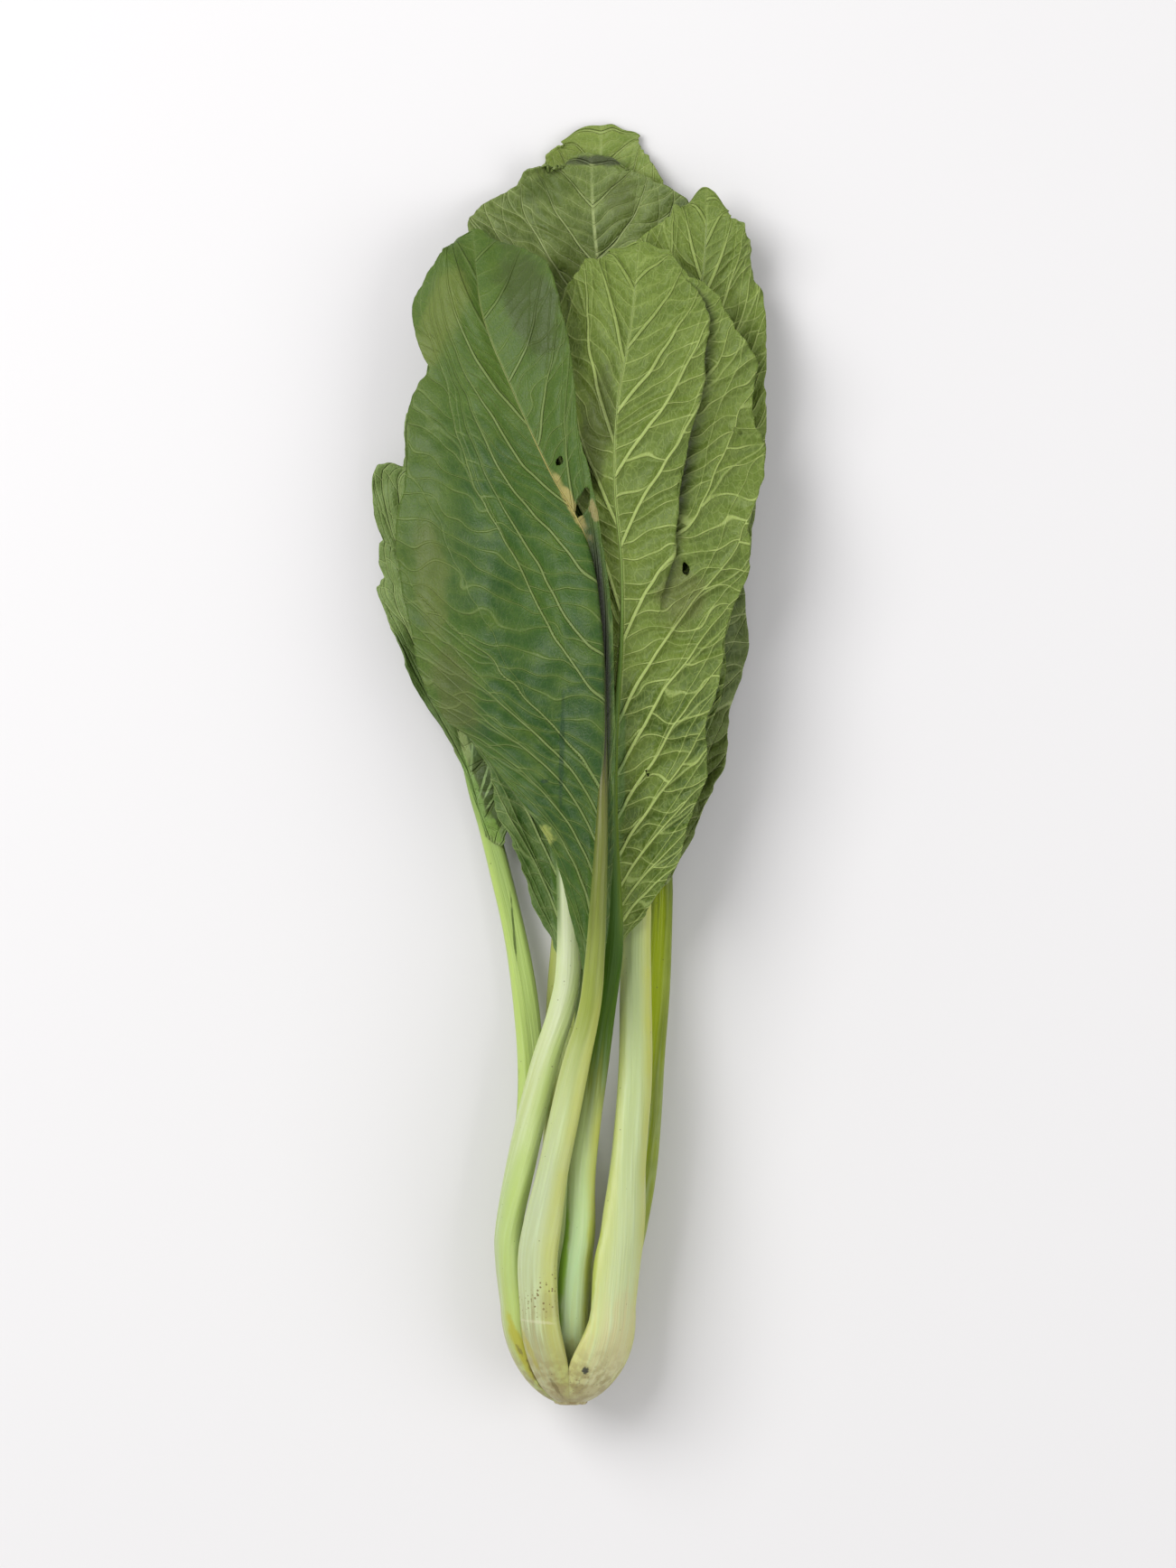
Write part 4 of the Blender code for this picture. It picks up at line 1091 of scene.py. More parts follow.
def overhang(leaf, u, v, x, z):
    """Lifts the right half to the line of its fold and tucks it under behind it. Gives
    the new x and z, and how much shade is painted in the crevice there."""
    share = leaf.fold_share(v)
    behind = np.clip((u - leaf.fold_line(v)) / FOLD_ROOM, 0.0, 1.0)
    z = z + leaf.fold_rise(u, v) * (1.0 - smooth_step(0.0, FOLD_DROP, behind))
    x = x - FOLD_TUCK * share * np.sin(math.pi * behind) ** 2
    deepest, wide = FOLD_SHADE
    return x, z, share * bell(behind - deepest, wide) * (behind > 0)


def cleft_share(leaf, v):
    """How deep the midrib is sunk between the halves of the blade, from 0 to 1."""
    if "cleft" not in leaf.plan:
        return 0.0 * v
    opens, closes = [smooth_step(place - CLEFT_EASE, place + CLEFT_EASE, v)
                     for place in leaf.plan["cleft"][:2]]
    return opens * (1.0 - closes)


def open_cleft(leaf, u, away, sunk, x, z):
    """Raises a wall on the left of the sunk midrib that leans over it a little. Gives
    the new x and z, and how much shade is painted in the cleft there."""
    high, (wide, steep) = leaf.plan["cleft"][2], CLEFT_WALL
    beside = np.clip((away - CLEFT_START) / wide, 0.0, 1.0)
    z = z + np.where(u < 0, sunk * high * np.sin(math.pi * beside**steep), 0.0)
    most, place, reach = CLEFT_LEAN
    x = x + np.where(u < 0, sunk * most * bell(away - place, reach), 0.0)
    left, right = CLEFT_SHADE
    near = bell(np.maximum(u * away - CLEFT_START, 0.0), right)
    return x, z, sunk * np.where(u < 0, bell(away, left), near)


def notched(leaf, u, v):
    """How far the edge is drawn in by its notches, in mm."""
    drawn = np.zeros(u.size)
    for side, place, deep, below, above in leaf.plan["notches"]:
        away = np.abs(v - place) / np.where(v < place, below, above)
        drawn += deep * np.exp(-(away ** NOTCH_POINT)) * (np.sign(u) == side)
    return drawn


def frayed(leaf, u, v, length, whole):
    """How far the edge is moved by frays and notches, as a share of the blade's reach."""
    edge = layered(FRILL, v * length, np.sign(u) * FRILL_SIDES) * leaf.plan["fray"]
    frill = edge / np.maximum(whole, LEAST_REACH) * np.abs(u) ** FRILL_OUT
    return frill - np.minimum(notched(leaf, u, v) / whole, NOTCH_MOST) * np.sqrt(np.abs(u))


print("leaves with notches:", [plan["name"] for plan in PLANS if plan["notches"]])

# %% [markdown]
# Now the points of a blade can be worked out, one step after another. The blade climbs the
# flanks of its midrib, so that the two look grown together. The finish later needs to know the
# vein number and the room between veins, where a point lies on the flattened blade, and how
# much shade is painted where a fold or a cleft makes a crevice, so these numbers are kept
# beside the points.

# %% The points of a blade
# how far beside the midrib a blade climbs it, how high with its outer side up or
# down, and how much of the midrib lies over the blade
RIB_CLIMB = 1.5
RIB_FLANK = {True: 0.42, False: -0.12}
RIB_COVERS = 0.8
# where the tip begins, how it waves, and how it is rounded
TIP_FROM = 0.86
TIP_WAVE = ((2.0, 5.0, 12),)
TIP_ROUND = 2.2
# the least length that is divided by, of a direction, a radius and a half width
TINY = 1e-9
LEAST_RADIUS = 1e-6
LEAST_WIDTH = 1e-3


def normals(grid):
    """The direction in which the sheet faces at each point of its grid."""
    normal = np.cross(np.gradient(grid, axis=1), np.gradient(grid, axis=0)).reshape(-1, 3)
    size = np.linalg.norm(normal, axis=1, keepdims=True)
    return np.where(size > TINY, normal / np.maximum(size, TINY), (0.0, 0.0, 1.0))


def blade_points(leaf):
    """The points of a blade and what its finish needs to know at each of them."""
    u, v, length = blade_grid(leaf)
    shape = u.shape
    u, v = u.ravel(), v.ravel()
    _, _, _, whole = leaf.sheet(np.where(u < 0, -1.0, 1.0), v)
    x, y, z, away = leaf.sheet(u, v, frayed(leaf, u, v, length, whole))
    z = smoothed(z.reshape(shape), leaf.plan["spacing"]).ravel()
    near_tip = smooth_step(TIP_FROM, 1.0, v)
    y += layered(TIP_WAVE, x) * near_tip
    _, half, rounded = leaf.plan["tip"]
    y -= rounded * half * np.abs(u) ** TIP_ROUND * near_tip
    number, gap = veins_at(leaf, u, v, x, y, away, shape)

    # how much shade is painted at each point: where the fold tucks under and in the cleft
    crevice_shade, sunk = np.zeros(u.size), cleft_share(leaf, v)
    if "fold" in leaf.plan:
        x, z, crevice_shade = overhang(leaf, u, v, x, z)
    width, thickness = leaf.along(leaf.row(v))[:, 3:5].T * slim(v)
    beside = away - RIB_COVERS * width
    climb = RIB_FLANK[leaf.plan["outer_up"]] * thickness * (1.0 - sunk)
    z += climb * bell(np.maximum(beside, 0.0), RIB_CLIMB)
    if "cleft" in leaf.plan:
        x, z, crevice_shade = open_cleft(leaf, u, away, sunk, x, z)

    out = np.abs(u)
    grid = np.stack([x, y, z], axis=-1).reshape(*shape, 3)
    moved = leaf.side * relief(leaf.plan, x, y, number, gap, out, away)
    points = grid.reshape(-1, 3) + normals(grid) * moved[:, None]
    held = dict(vein_space=(number, gap, out), blade_plan=(u * whole, v * length, beside),
                blade_more=(crevice_shade, v, np.zeros(u.size)))
    return points, shape, {title: np.stack(values, axis=-1) for title, values in held.items()}


print("a blade climbs its midrib over", RIB_CLIMB, "mm")

# %% [markdown]
# Insects ate a few holes. A hole is an oval with an uneven rim: faces inside it are left out,
# and the corners that stick into it are pushed back to the rim, so the rim is smooth however
# coarse the grid is. A Solidify modifier then gives the sheet its thickness, also in the holes,
# after a Weld modifier has closed the grid where its points meet.

# %% Holes, and the finished sheet
# how uneven the rim of a hole is, and a limit for the push near its middle
RIM = ((0.5, 0.9, 9),)
LEAST_SHARE = 0.05
WELD_REACH = 1e-6


def bitten(points, hole):
    """How far into a hole each point is, 1 on its rim, and the points pushed to the rim."""
    x, y, wide, high, tilt = hole
    turn = math.radians(tilt)
    dx, dy = points[:, 0] - x, points[:, 1] - y
    along = (dx * math.cos(turn) + dy * math.sin(turn)) / wide
    across = (dy * math.cos(turn) - dx * math.sin(turn)) / high
    rim = 1.0 + layered(RIM, np.arctan2(across, along))
    share = np.hypot(along, across) / rim
    push = 1.0 / np.maximum(share, LEAST_SHARE)
    moved = points.copy()
    moved[:, 0], moved[:, 1] = x + dx * push, y + dy * push
    return share, moved


def make_blade(leaf, finish):
    """The blade of a leaf: a fine wavy sheet with its holes."""
    points, (rows, columns), held = blade_points(leaf)
    index = np.arange(rows * columns).reshape(rows, columns)
    corners = [index[:-1, :-1], index[:-1, 1:], index[1:, 1:], index[1:, :-1]]
    faces = np.stack([c.ravel() for c in corners], axis=-1)
    for hole in leaf.plan["holes"]:
        share, moved = bitten(points, hole)
        inside = share < 1.0
        faces = faces[~inside[faces].all(axis=1)]
        points = np.where(inside[:, None], moved, points)
    used = np.unique(faces)
    place = np.full(len(points), -1)
    place[used] = np.arange(len(used))
    held = {title: values[used] for title, values in held.items()}
    piece = make_piece(leaf.name + "_blade", points[used], place[faces].tolist(), finish,
                       "blade", **held)
    weld = piece.modifiers.new("tip", "WELD")
    weld.merge_threshold = WELD_REACH
    solid = piece.modifiers.new("sheet", "SOLIDIFY")
    solid.thickness = SHEET * MM
    solid.offset = 0.0
    return piece


print("a blade is", SHEET, "mm thick")

# %% [markdown]
# A stalk is a loft: its section is swept along the spine in close rings. Fine strings run
# along it under the skin, so its surface is faintly fluted, and it swells and pinches a little.

# %% The loft of a stalk
# how finely a stalk is made: round it, along it in mm, and in its foot
STALK_SIDES = 44
RING_STEP = 1.5
FOOT_RINGS = 14
# how deep the midrib sits in its blade and from where, and how deep in a cleft
RIB_ON_SHEET = (0.55, 0.08)
CLEFT_SINK = 0.6
# flutes and swells: their size, their width and their length in mm, and how thick
# a stalk is that has them in full
FLUTES = (0.16, 1.1, 60.0)
SWELLS = (0.35, 9.0, 24.0, 0.6)
FLUTE_SEED = 11
FULL_FLUTES = 6.0
# where the stalks end: the inner ones stop short of the cut end
INNER_LEAVES = ("leaf_heart", "leaf_front_right")
INNER_FOOT_Y = -178.0
OUTER_FOOT_Y = -188.0


def loft_faces(rings, sides):
    """The faces of a closed loft: quads from ring to ring, and a lid on each end."""
    index = np.arange(rings * sides).reshape(rings, sides)
    nxt = np.roll(index, -1, axis=1)
    quads = np.stack([index[:-1], nxt[:-1], nxt[1:], index[1:]], axis=-1).reshape(-1, 4)
    return [*quads.tolist(), index[0][::-1].tolist(), index[-1].tolist()]


def stalk_rows(leaf):
    """The rings of a stalk from its foot to the end of its midrib."""
    flat = np.hypot(*np.diff(leaf.spine[:, :2], axis=0).T)
    gone = np.concatenate([[0.0], np.cumsum(flat)])
    length = np.interp(leaf.row(RIB_END), leaf.t, gone)
    stops = np.linspace(0.0, length, math.ceil(length / RING_STEP) + 1)
    t = np.interp(stops, gone, leaf.t)
    rows, v = leaf.along(t), leaf.blade_share(t)
    thickness = rows[:, 4].copy()
    rows[:, 3:5] *= slim(v)[:, None]
    sunk, from_v = RIB_ON_SHEET
    down = (thickness - rows[:, 4]) / 2.0 + sunk * smooth_step(0.0, from_v, v)
    rows[:, 2] -= leaf.side * down
    rows[:, 2] -= CLEFT_SINK * rows[:, 4] * cleft_share(leaf, v)
    lowest = INNER_FOOT_Y if leaf.name in INNER_LEAVES else OUTER_FOOT_Y
    rings_y = BULB_SHOULDER_Y + (lowest - BULB_SHOULDER_Y) * np.sin(
        np.linspace(math.pi / 2.0, 0.0, FOOT_RINGS, endpoint=False))
    foot = base_rows(rows[0], leaf.plan["base"], rings_y)
    return np.vstack([foot, rows]), np.concatenate([np.zeros(FOOT_RINGS), v])


def fluted(leaf, rows, across, y, out):
    """How far the skin of a stalk stands out at each point, in mm."""
    seed = FLUTE_SEED + len(leaf.name)
    size, wide, long = FLUTES
    bumps = size * wander(1.0, seed, across / wide, y / long, out)
    size, wide, long, around = SWELLS
    bumps += size * wander(1.0, seed + 1, across / wide, y / long, out * around)
    return bumps.reshape(y.shape) * np.minimum(rows[:, 4:5] / FULL_FLUTES, 1.0)


def make_stalk(leaf, finish):
    """The stalk of a leaf with its midrib."""
    rows, on_blade = stalk_rows(leaf)
    angles = np.arange(STALK_SIDES) * 2.0 * math.pi / STALK_SIDES
    outline = section(rows, angles)
    y, width, v = [np.repeat(column[:, None], STALK_SIDES, axis=1)
                   for column in (rows[:, 1], rows[:, 3], on_blade)]
    across, out = np.cos(angles) * width, np.tile(np.sin(angles), (len(rows), 1))
    points = np.stack([outline[..., 0], y, outline[..., 1]], axis=-1)
    outward = points - points.mean(axis=1, keepdims=True)
    outward /= np.maximum(np.linalg.norm(outward, axis=-1, keepdims=True), LEAST_RADIUS)
    points = points + outward * fluted(leaf, rows, across, y, out)[..., None]
    points[..., 2] = np.maximum(points[..., 2], 0.0)
    faces = [face[::-1] for face in loft_faces(len(rows), STALK_SIDES)]
    space = np.stack([across, out, y], axis=-1)
    ring = np.stack([across / np.maximum(width, LEAST_WIDTH), v, 0.0 * v], axis=-1)
    return make_piece(leaf.name + "_stalk", points.reshape(-1, 3), faces, finish, "stalk",
                      stalk_space=space, stalk_ring=ring)


print("a stalk has", STALK_SIDES, "sides")

# %% [markdown]
# A finish is a net of shader nodes. This small helper adds nodes in one line each: a value
# that is a socket gets linked, and any other value is set on the node.

# %% A helper for finishes
# how uneven the outline of a spot is, and where the spot fades out
RAGGED = 1.4
SPOT_EDGE = (0.62, 1.22)


class Finish:
    """A Principled material that is built up node by node."""

    def __init__(self, name):
        self.material = bpy.data.materials.new(name)
        self.material.use_nodes = True
        self.tree = self.material.node_tree
        self.shader = self.tree.nodes["Principled BSDF"]

    def add(self, kind, *values, **settings):
        """A node of a kind, its inputs fed in order. None leaves an input alone."""
        node = self.tree.nodes.new("ShaderNode" + kind)
        for name, value in settings.items():
            setattr(node, name, value)
        for socket, value in zip(node.inputs, values):
            self.feed(socket, value)
        return node

    def feed(self, socket, value):
        """Links a socket or sets a number or colour."""
        if isinstance(value, bpy.types.NodeSocket):
            self.tree.links.new(value, socket)
        elif isinstance(value, tuple) and socket.type == "RGBA":
            socket.default_value = (*value, 1.0)
        elif value is not None:
            socket.default_value = value

    def math(self, operation, *values):
        """A number worked out from others."""
        return self.add("Math", *values, operation=operation).outputs[0]

    def fade(self, value, low, high, start=0.0, end=1.0):
        """start below low, end above high, smooth between."""
        node = self.add("MapRange", value, low, high, start, end,
                        interpolation_type="SMOOTHSTEP")
        return node.outputs[0]

    def times(self, product, *numbers):
        """The product of one or more numbers."""
        for number in numbers:
            product = self.math("MULTIPLY", product, number)
        return product

    def over(self, tone, colour, *shares):
        """A colour laid over a tone, as strongly as the product of some shares."""
        node = self.add("Mix", data_type="RGBA")
        for i, value in ((0, self.times(*shares)), (6, tone), (7, colour)):
            self.feed(node.inputs[i], value)
        return node.outputs[2]

    def along(self, value, stops):
        """A colour that changes with a value, through stops of value and colour."""
        low, high = stops[0][0], stops[-1][0]
        share = self.add("MapRange", value, low, high, 0.0, 1.0).outputs[0]
        ramp = self.add("ValToRGB", share)
        elements = ramp.color_ramp.elements
        for _ in stops[2:]:
            elements.new(0.5)
        for element, (place, colour) in zip(elements, stops):
            element.position = (place - low) / (high - low)
            element.color = (*colour, 1.0)
        return ramp.outputs[0]

    def given(self, name):
        """A vector that the mesh holds at each point."""
        return self.add("Attribute", attribute_name=name).outputs["Vector"]

    def split(self, vector):
        """The three numbers of a vector."""
        return self.add("SeparateXYZ", vector).outputs[:3]

    def vector(self, *numbers):
        """A vector of up to three numbers."""
        return self.add("CombineXYZ", *numbers).outputs[0]

    def scaled(self, vector, size):
        """A vector times a number."""
        node = self.add("VectorMath", vector, operation="SCALE")
        self.feed(node.inputs["Scale"], size)
        return node.outputs[0]

    def joined(self, first, second):
        """The sum of two vectors."""
        return self.add("VectorMath", first, second, operation="ADD").outputs[0]

    def noise(self, vector, scale, detail=2.0):
        """Cloudy noise from 0 to 1."""
        node = self.add("TexNoise", vector)
        node.inputs["Scale"].default_value = scale
        node.inputs["Detail"].default_value = detail
        return node.outputs[0]

    def cells(self, vector, scale, feature="F1"):
        """Cells with a middle or an edge to measure from."""
        node = self.add("TexVoronoi", vector, feature=feature)
        node.inputs["Scale"].default_value = scale
        return node

    def flecks(self, place, scale, rare, widest):
        """1 on small round flecks of uneven size, 0 between them."""
        cells = self.cells(place, scale)
        share = self.fade(self.split(cells.outputs["Color"])[0], rare, 1.0)
        return self.math("LESS_THAN", cells.outputs["Distance"], self.times(share, widest))

    def bump(self, height, depth, inward=False):
        """Raises the surface in the light by a height from 0 to 1, depth in mm."""
        node = self.add("Bump", invert=inward)
        node.inputs["Strength"].default_value = 1.0
        node.inputs["Distance"].default_value = depth * MM
        self.feed(node.inputs["Height"], height)
        self.feed(self.shader.inputs["Normal"], node.outputs[0])

    def place(self):
        """The point's place on the head, in mm."""
        return self.scaled(self.add("TexCoord").outputs["Object"], 1.0 / MM)

    def patch(self, place, x, y, wide, high, tilt):
        """1 inside an uneven oval of the plan, 0 outside."""
        moved = self.joined(place, (-x, -y, 0.0))
        turned = self.add("VectorRotate", moved, rotation_type="Z_AXIS")
        turned.inputs["Angle"].default_value = -math.radians(tilt)
        px, py, _ = self.split(turned.outputs[0])
        flat = self.vector(self.math("DIVIDE", px, wide), self.math("DIVIDE", py, high))
        far = self.add("VectorMath", flat, operation="LENGTH").outputs["Value"]
        rough = self.noise(place, 3.0 / (wide + high), 3.0)
        rough = self.times(self.math("SUBTRACT", rough, 0.5), RAGGED)
        return self.fade(self.math("ADD", far, rough), *SPOT_EDGE, 1.0, 0.0)

    def spots(self, tone, place, spots):
        """Uneven spots laid over a tone, each with the values of its oval, colour, cover."""
        for *oval, colour, cover in spots:
            tone = self.over(tone, colour, self.patch(place, *oval), cover)
        return tone

    def dress(self, tone, roughness, settings=None):
        """Gives the surface its colour, its roughness and other settings by name."""
        values = {"Base Color": tone, "Roughness": roughness, **(settings or {})}
        for title, value in values.items():
            self.feed(self.shader.inputs[title], value)


print("spots fade out from", SPOT_EDGE[0], "to", SPOT_EDGE[1], "of their size")

# %% [markdown]
# The green of a blade is never one colour: it is deep between the veins, lighter beside them,
# cloudy over centimetres and speckled over a millimetre. Pale lines follow the side veins and
# their branches, then a ladder of finer veins between them, then a net. The tones were chosen
# and then tuned until the render came close to the photo.

# %% The tones of the blades
TONES = {
    "smooth leaf": dict(deep=(0.014, 0.053, 0.004), mid=(0.033, 0.084, 0.005),
                        light=(0.084, 0.136, 0.013), vein=(0.155, 0.210, 0.06),
                        net=0.4, forks=0.3, rungs=5.6, thick=0.22, ends=0.35),
    "olive leaf": dict(deep=(0.044, 0.080, 0.006), mid=(0.104, 0.155, 0.017),
                       light=(0.170, 0.232, 0.040), vein=(0.33, 0.41, 0.12),
                       net=1.0, forks=0.45, rungs=5.6, thick=0.34, ends=0.7),
    "crinkled leaf": dict(deep=(0.042, 0.070, 0.007), mid=(0.100, 0.143, 0.021),
                          light=(0.185, 0.240, 0.065), vein=(0.32, 0.38, 0.15),
                          net=0.8, forks=0.4, rungs=6.0, thick=0.28, ends=0.6),
    "side leaf": dict(deep=(0.030, 0.080, 0.008), mid=(0.080, 0.148, 0.020),
                      light=(0.18, 0.25, 0.070), vein=(0.27, 0.35, 0.12),
                      net=0.6, forks=0.4, rungs=6.5, thick=0.28, ends=0.6),
    "top leaf": dict(deep=(0.076, 0.130, 0.012), mid=(0.165, 0.225, 0.033),
                     light=(0.230, 0.285, 0.068), vein=(0.34, 0.41, 0.15),
                     net=0.7, forks=0.4, rungs=6.0, thick=0.28, ends=0.6),
}
print("blade tones:", list(TONES))

# %% [markdown]
# A pale line is drawn wherever the vein number is whole, as wide as the vein is there. The
# ladder between two side veins is made in the same way, from a number that grows along the
# blade, and each strip between two veins has its rungs at other places.

# %% The lines on a blade
# the soft edge of a line in mm, and how the line of a side vein gets thinner
LINE_EDGE = 0.32
SIDE_LINE_END = 0.2
SIDE_FADE_FROM = 0.3
# how wide the lines of branches and rungs are
FORK_LINE = 0.05
RUNG_LINE = 0.4
# how the rungs lean, how far they are moved from strip to strip, and how they sway
RUNG_LEAN = 0.1
RUNG_SHIFT = 5.0
RUNG_SWAY = (0.06, 0.6)


def vein_lines(f, number, gap, width):
    """1 on the lines of whole vein numbers and 0 beside them, and how far it is to a
    line in mm. width is half a line in mm."""
    part = f.math("FRACT", f.math("ADD", number, 0.5))
    far = f.times(f.math("ABSOLUTE", f.math("SUBTRACT", part, 0.5)), gap)
    edge = f.math("ADD", width, LINE_EDGE)
    return f.math("SUBTRACT", 1.0, f.fade(far, width, edge)), far


def side_veins(f, tones, number, gap, out):
    """The lines of the side veins, how far it is to one, and the lines of their forks."""
    thick = tones["thick"]
    width = f.fade(out, 0.0, 1.0, thick, SIDE_LINE_END * thick)
    side, far = vein_lines(f, number, gap, width)
    side = f.times(side, f.fade(out, SIDE_FADE_FROM, 1.0, 1.0, tones["ends"]))
    forks = 0.0
    for first, size in FORKS:
        moved = f.math("SUBTRACT", number, f.fade(out, first, 1.0, 0.0, size))
        lines, _ = vein_lines(f, moved, gap, FORK_LINE)
        lines = f.times(lines, f.fade(out, first, first + FORK_EASE))
        forks = f.math("MAXIMUM", forks, lines)
    return side, far, forks


def ladder_veins(f, tones, number, forth, away, place):
    """The lines of the rungs between side veins, and how far it is to one."""
    strip = f.add("TexWhiteNoise", None, f.math("FLOOR", number), noise_dimensions="1D")
    along = f.math("SUBTRACT", forth, f.times(away, RUNG_LEAN))
    along = f.math("DIVIDE", along, tones["rungs"])
    along = f.math("ADD", along, f.times(strip.outputs["Value"], RUNG_SHIFT))
    scale, most = RUNG_SWAY
    sway = f.fade(f.noise(place, scale, 1.0), 0.2, 0.8, -most, most)
    along = f.math("ADD", along, sway)
    return vein_lines(f, along, tones["rungs"], RUNG_LINE * tones["thick"])


print("rungs lean forward by", RUNG_LEAN, "mm for each mm away from the midrib")

# %% [markdown]
# The finish lays one tone over another, from the broad clouds of green to the finest veins,
# then the spots of this one leaf, and last a painted shade in the crevices of folds and clefts.
# The same lines also raise the surface a little in the light, where the mesh is too coarse for
# them. A blade is waxy, and a little light shines through its flesh.

# %% The finish of the blades
# painted shade: a near black laid in the crevice under a fold and in the midrib's cleft
CREVICE_SHADE_TONE = (0.012, 0.013, 0.007)
# clouds, and the net between the finest veins. A fade here has the value where it
# starts, the value where it ends, and what it gives before and after
CLOUDS = 0.16
CLOUD_SHIFT = (31.0, 7.0, 0.0)
NET = (0.42, 1.6)
NET_EDGE = (0.02, 0.12)
NET_COVER = 0.16
NET_HEIGHT = 0.13
# lines fade where veins lie close, at the tip, and in clouds
ROOMY_GAP = (1.5, 5.0, 0.15, 1.0)
ROOMY_TIP = (0.72, 0.95, 1.0, 0.35)
RUNG_CLOUD = (0.3, 0.6, 0.35, 1.0)
WASH_CLOUD = (0.25, 0.6, 0.45, 1.0)
# clouds and mottles of green: their scale and detail, and how each fades
BROAD_CLOUD = (0.035, 3.0)
BROAD_FADE = (0.36, 0.64)
MOTTLE = (0.15, 4.0)
MOTTLE_FADE = (0.45, 0.8, 0.0, 0.7)
# the green is lighter beside the lines and at the edge, and darker between lines
LIGHT_LINES = (0.3, 1.6, 0.35, 0.0)
DARK_FIELDS = (1.2, 2.6, 0.0)
DARK_COVER = 0.3
LIGHT_EDGE = (0.94, 1.0, 0.0, 0.35)
GRAIN = (1.7, 3.0)
GRAIN_FADE = (0.3, 0.75, 0.28, 0.0)
MIDRIB_EDGE = (0.0, 0.7, 0.85, 0.0)
MIDRIB_TIP = (0.85, 0.98, 1.0, 0.2)
# how strongly the painted crevice shade covers the green
CREVICE_SHADE_COVER = 0.95
BLADE_ROUGHNESS = (0.2, 0.8, 0.40, 0.56)
# how strongly the lines show, and how high they stand
RUNG_COVER = (0.3, 0.4)
SIDE_COVER = 0.8
BULGE = 1.4
GRAIN_HEIGHT = 0.25
BLADE_BUMP = 0.55
BLADE_FLESH = {"Specular IOR Level": 0.28, "Subsurface Weight": 0.12,
               "Subsurface Radius": (0.6, 1.0, 0.25), "Subsurface Scale": 1.2 * MM}


def blade_finish(leaf):
    """The finish of a leaf's blade."""
    tones = TONES[leaf.plan["tone"]]
    deep, mid, light, pale = [tones[name] for name in ("deep", "mid", "light", "vein")]
    strength = tones["net"]
    f = Finish(leaf.name + " blade")
    number, gap, out = f.split(f.given("vein_space"))
    plan = f.given("blade_plan")
    across, forth, away = f.split(plan)
    crevice_shade, v, _ = f.split(f.given("blade_more"))
    place = f.place()

    side, far, forks = side_veins(f, tones, number, gap, out)
    rung, ladder = ladder_veins(f, tones, number, forth, away, place)
    ladder = f.math("MINIMUM", ladder, far)
    cloud, other = [f.noise(spot, CLOUDS) for spot in (place, f.joined(place, CLOUD_SHIFT))]
    drift = f.vector(f.math("SUBTRACT", cloud, 0.5), f.math("SUBTRACT", other, 0.5))
    size, sway = NET
    wavy = f.joined(f.scaled(plan, size), f.scaled(drift, sway))
    net = f.cells(wavy, 1.0, "DISTANCE_TO_EDGE").outputs["Distance"]
    net = f.fade(net, *NET_EDGE, 1.0, 0.0)
    roomy = f.times(f.fade(gap, *ROOMY_GAP), f.fade(v, *ROOMY_TIP))
    rung = f.times(rung, f.fade(other, *RUNG_CLOUD), roomy)
    low, more = RUNG_COVER
    rung_cover = low + more * strength
    forks_shown = f.times(forks, roomy, tones["forks"])

    tone = f.over(deep, mid, f.fade(f.noise(place, *BROAD_CLOUD), *BROAD_FADE))
    tone = f.over(tone, light, f.fade(f.noise(place, *MOTTLE), *MOTTLE_FADE))
    tone = f.over(tone, light, f.fade(ladder, *LIGHT_LINES))
    tone = f.over(tone, deep, f.fade(ladder, *DARK_FIELDS, DARK_COVER * strength))
    tone = f.over(tone, light, f.fade(out, *LIGHT_EDGE))
    for low, high, cover, colour in leaf.plan["washes"]:
        uneven = f.fade(cloud, *WASH_CLOUD)
        tone = f.over(tone, colour, f.fade(across, low, high), cover, uneven)
    first, last, cover = leaf.plan["lighter"]
    tone = f.over(tone, light, f.fade(v, first, last), cover)
    grain = f.noise(place, *GRAIN)
    tone = f.over(tone, deep, f.fade(grain, *GRAIN_FADE))
    tone = f.over(tone, pale, net, NET_COVER * strength)
    tone = f.over(tone, pale, rung, rung_cover)
    tone = f.over(tone, pale, forks_shown)
    tone = f.over(tone, pale, side, roomy, SIDE_COVER)
    tone = f.over(tone, pale, f.fade(away, *MIDRIB_EDGE), f.fade(v, *MIDRIB_TIP))
    tone = f.spots(tone, place, leaf.plan["patches"])
    # last, the painted shade in the crevices of the fold and the cleft
    tone = f.over(tone, CREVICE_SHADE_TONE, crevice_shade, CREVICE_SHADE_COVER)

    raised = f.math("MAXIMUM", side, forks_shown)
    raised = f.math("MAXIMUM", raised, f.times(rung, rung_cover))
    raised = f.math("ADD", raised, f.times(net, NET_HEIGHT * strength))
    bulge = f.times(f.fade(ladder, 0.0, 2.6, 0.0, BULGE * strength**2), roomy)
    raised = f.math("SUBTRACT", raised, bulge)
    raised = f.math("ADD", raised, f.times(grain, GRAIN_HEIGHT))
    f.bump(raised, BLADE_BUMP, inward=leaf.side < 0)
    f.dress(tone, f.fade(grain, *BLADE_ROUGHNESS), BLADE_FLESH)
    return f.material


print("the lines raise a blade by at most", BLADE_BUMP, "mm in the light")

# %% [markdown]
# A stalk is pale where it is thick and juicy, and yellow-green along its thin edges. It turns
# greener towards the blade, and its midrib ends as green as the blade. Long strings show
# faintly under the skin, tiny dark specks sit on it, and near the cut it is bruised and dry.
# The flesh of a stalk lets more light through than a blade does.

# %% The finish of the stalks
STALK_TONES = dict(olive=(0.42, 0.44, 0.085), lime=(0.37, 0.48, 0.12), dark=(0.06, 0.09, 0.004),
                   milky=(0.52, 0.62, 0.38), bruise=(0.27, 0.22, 0.08), speck=(0.06, 0.055, 0.02),
                   brown=(0.16, 0.11, 0.035))
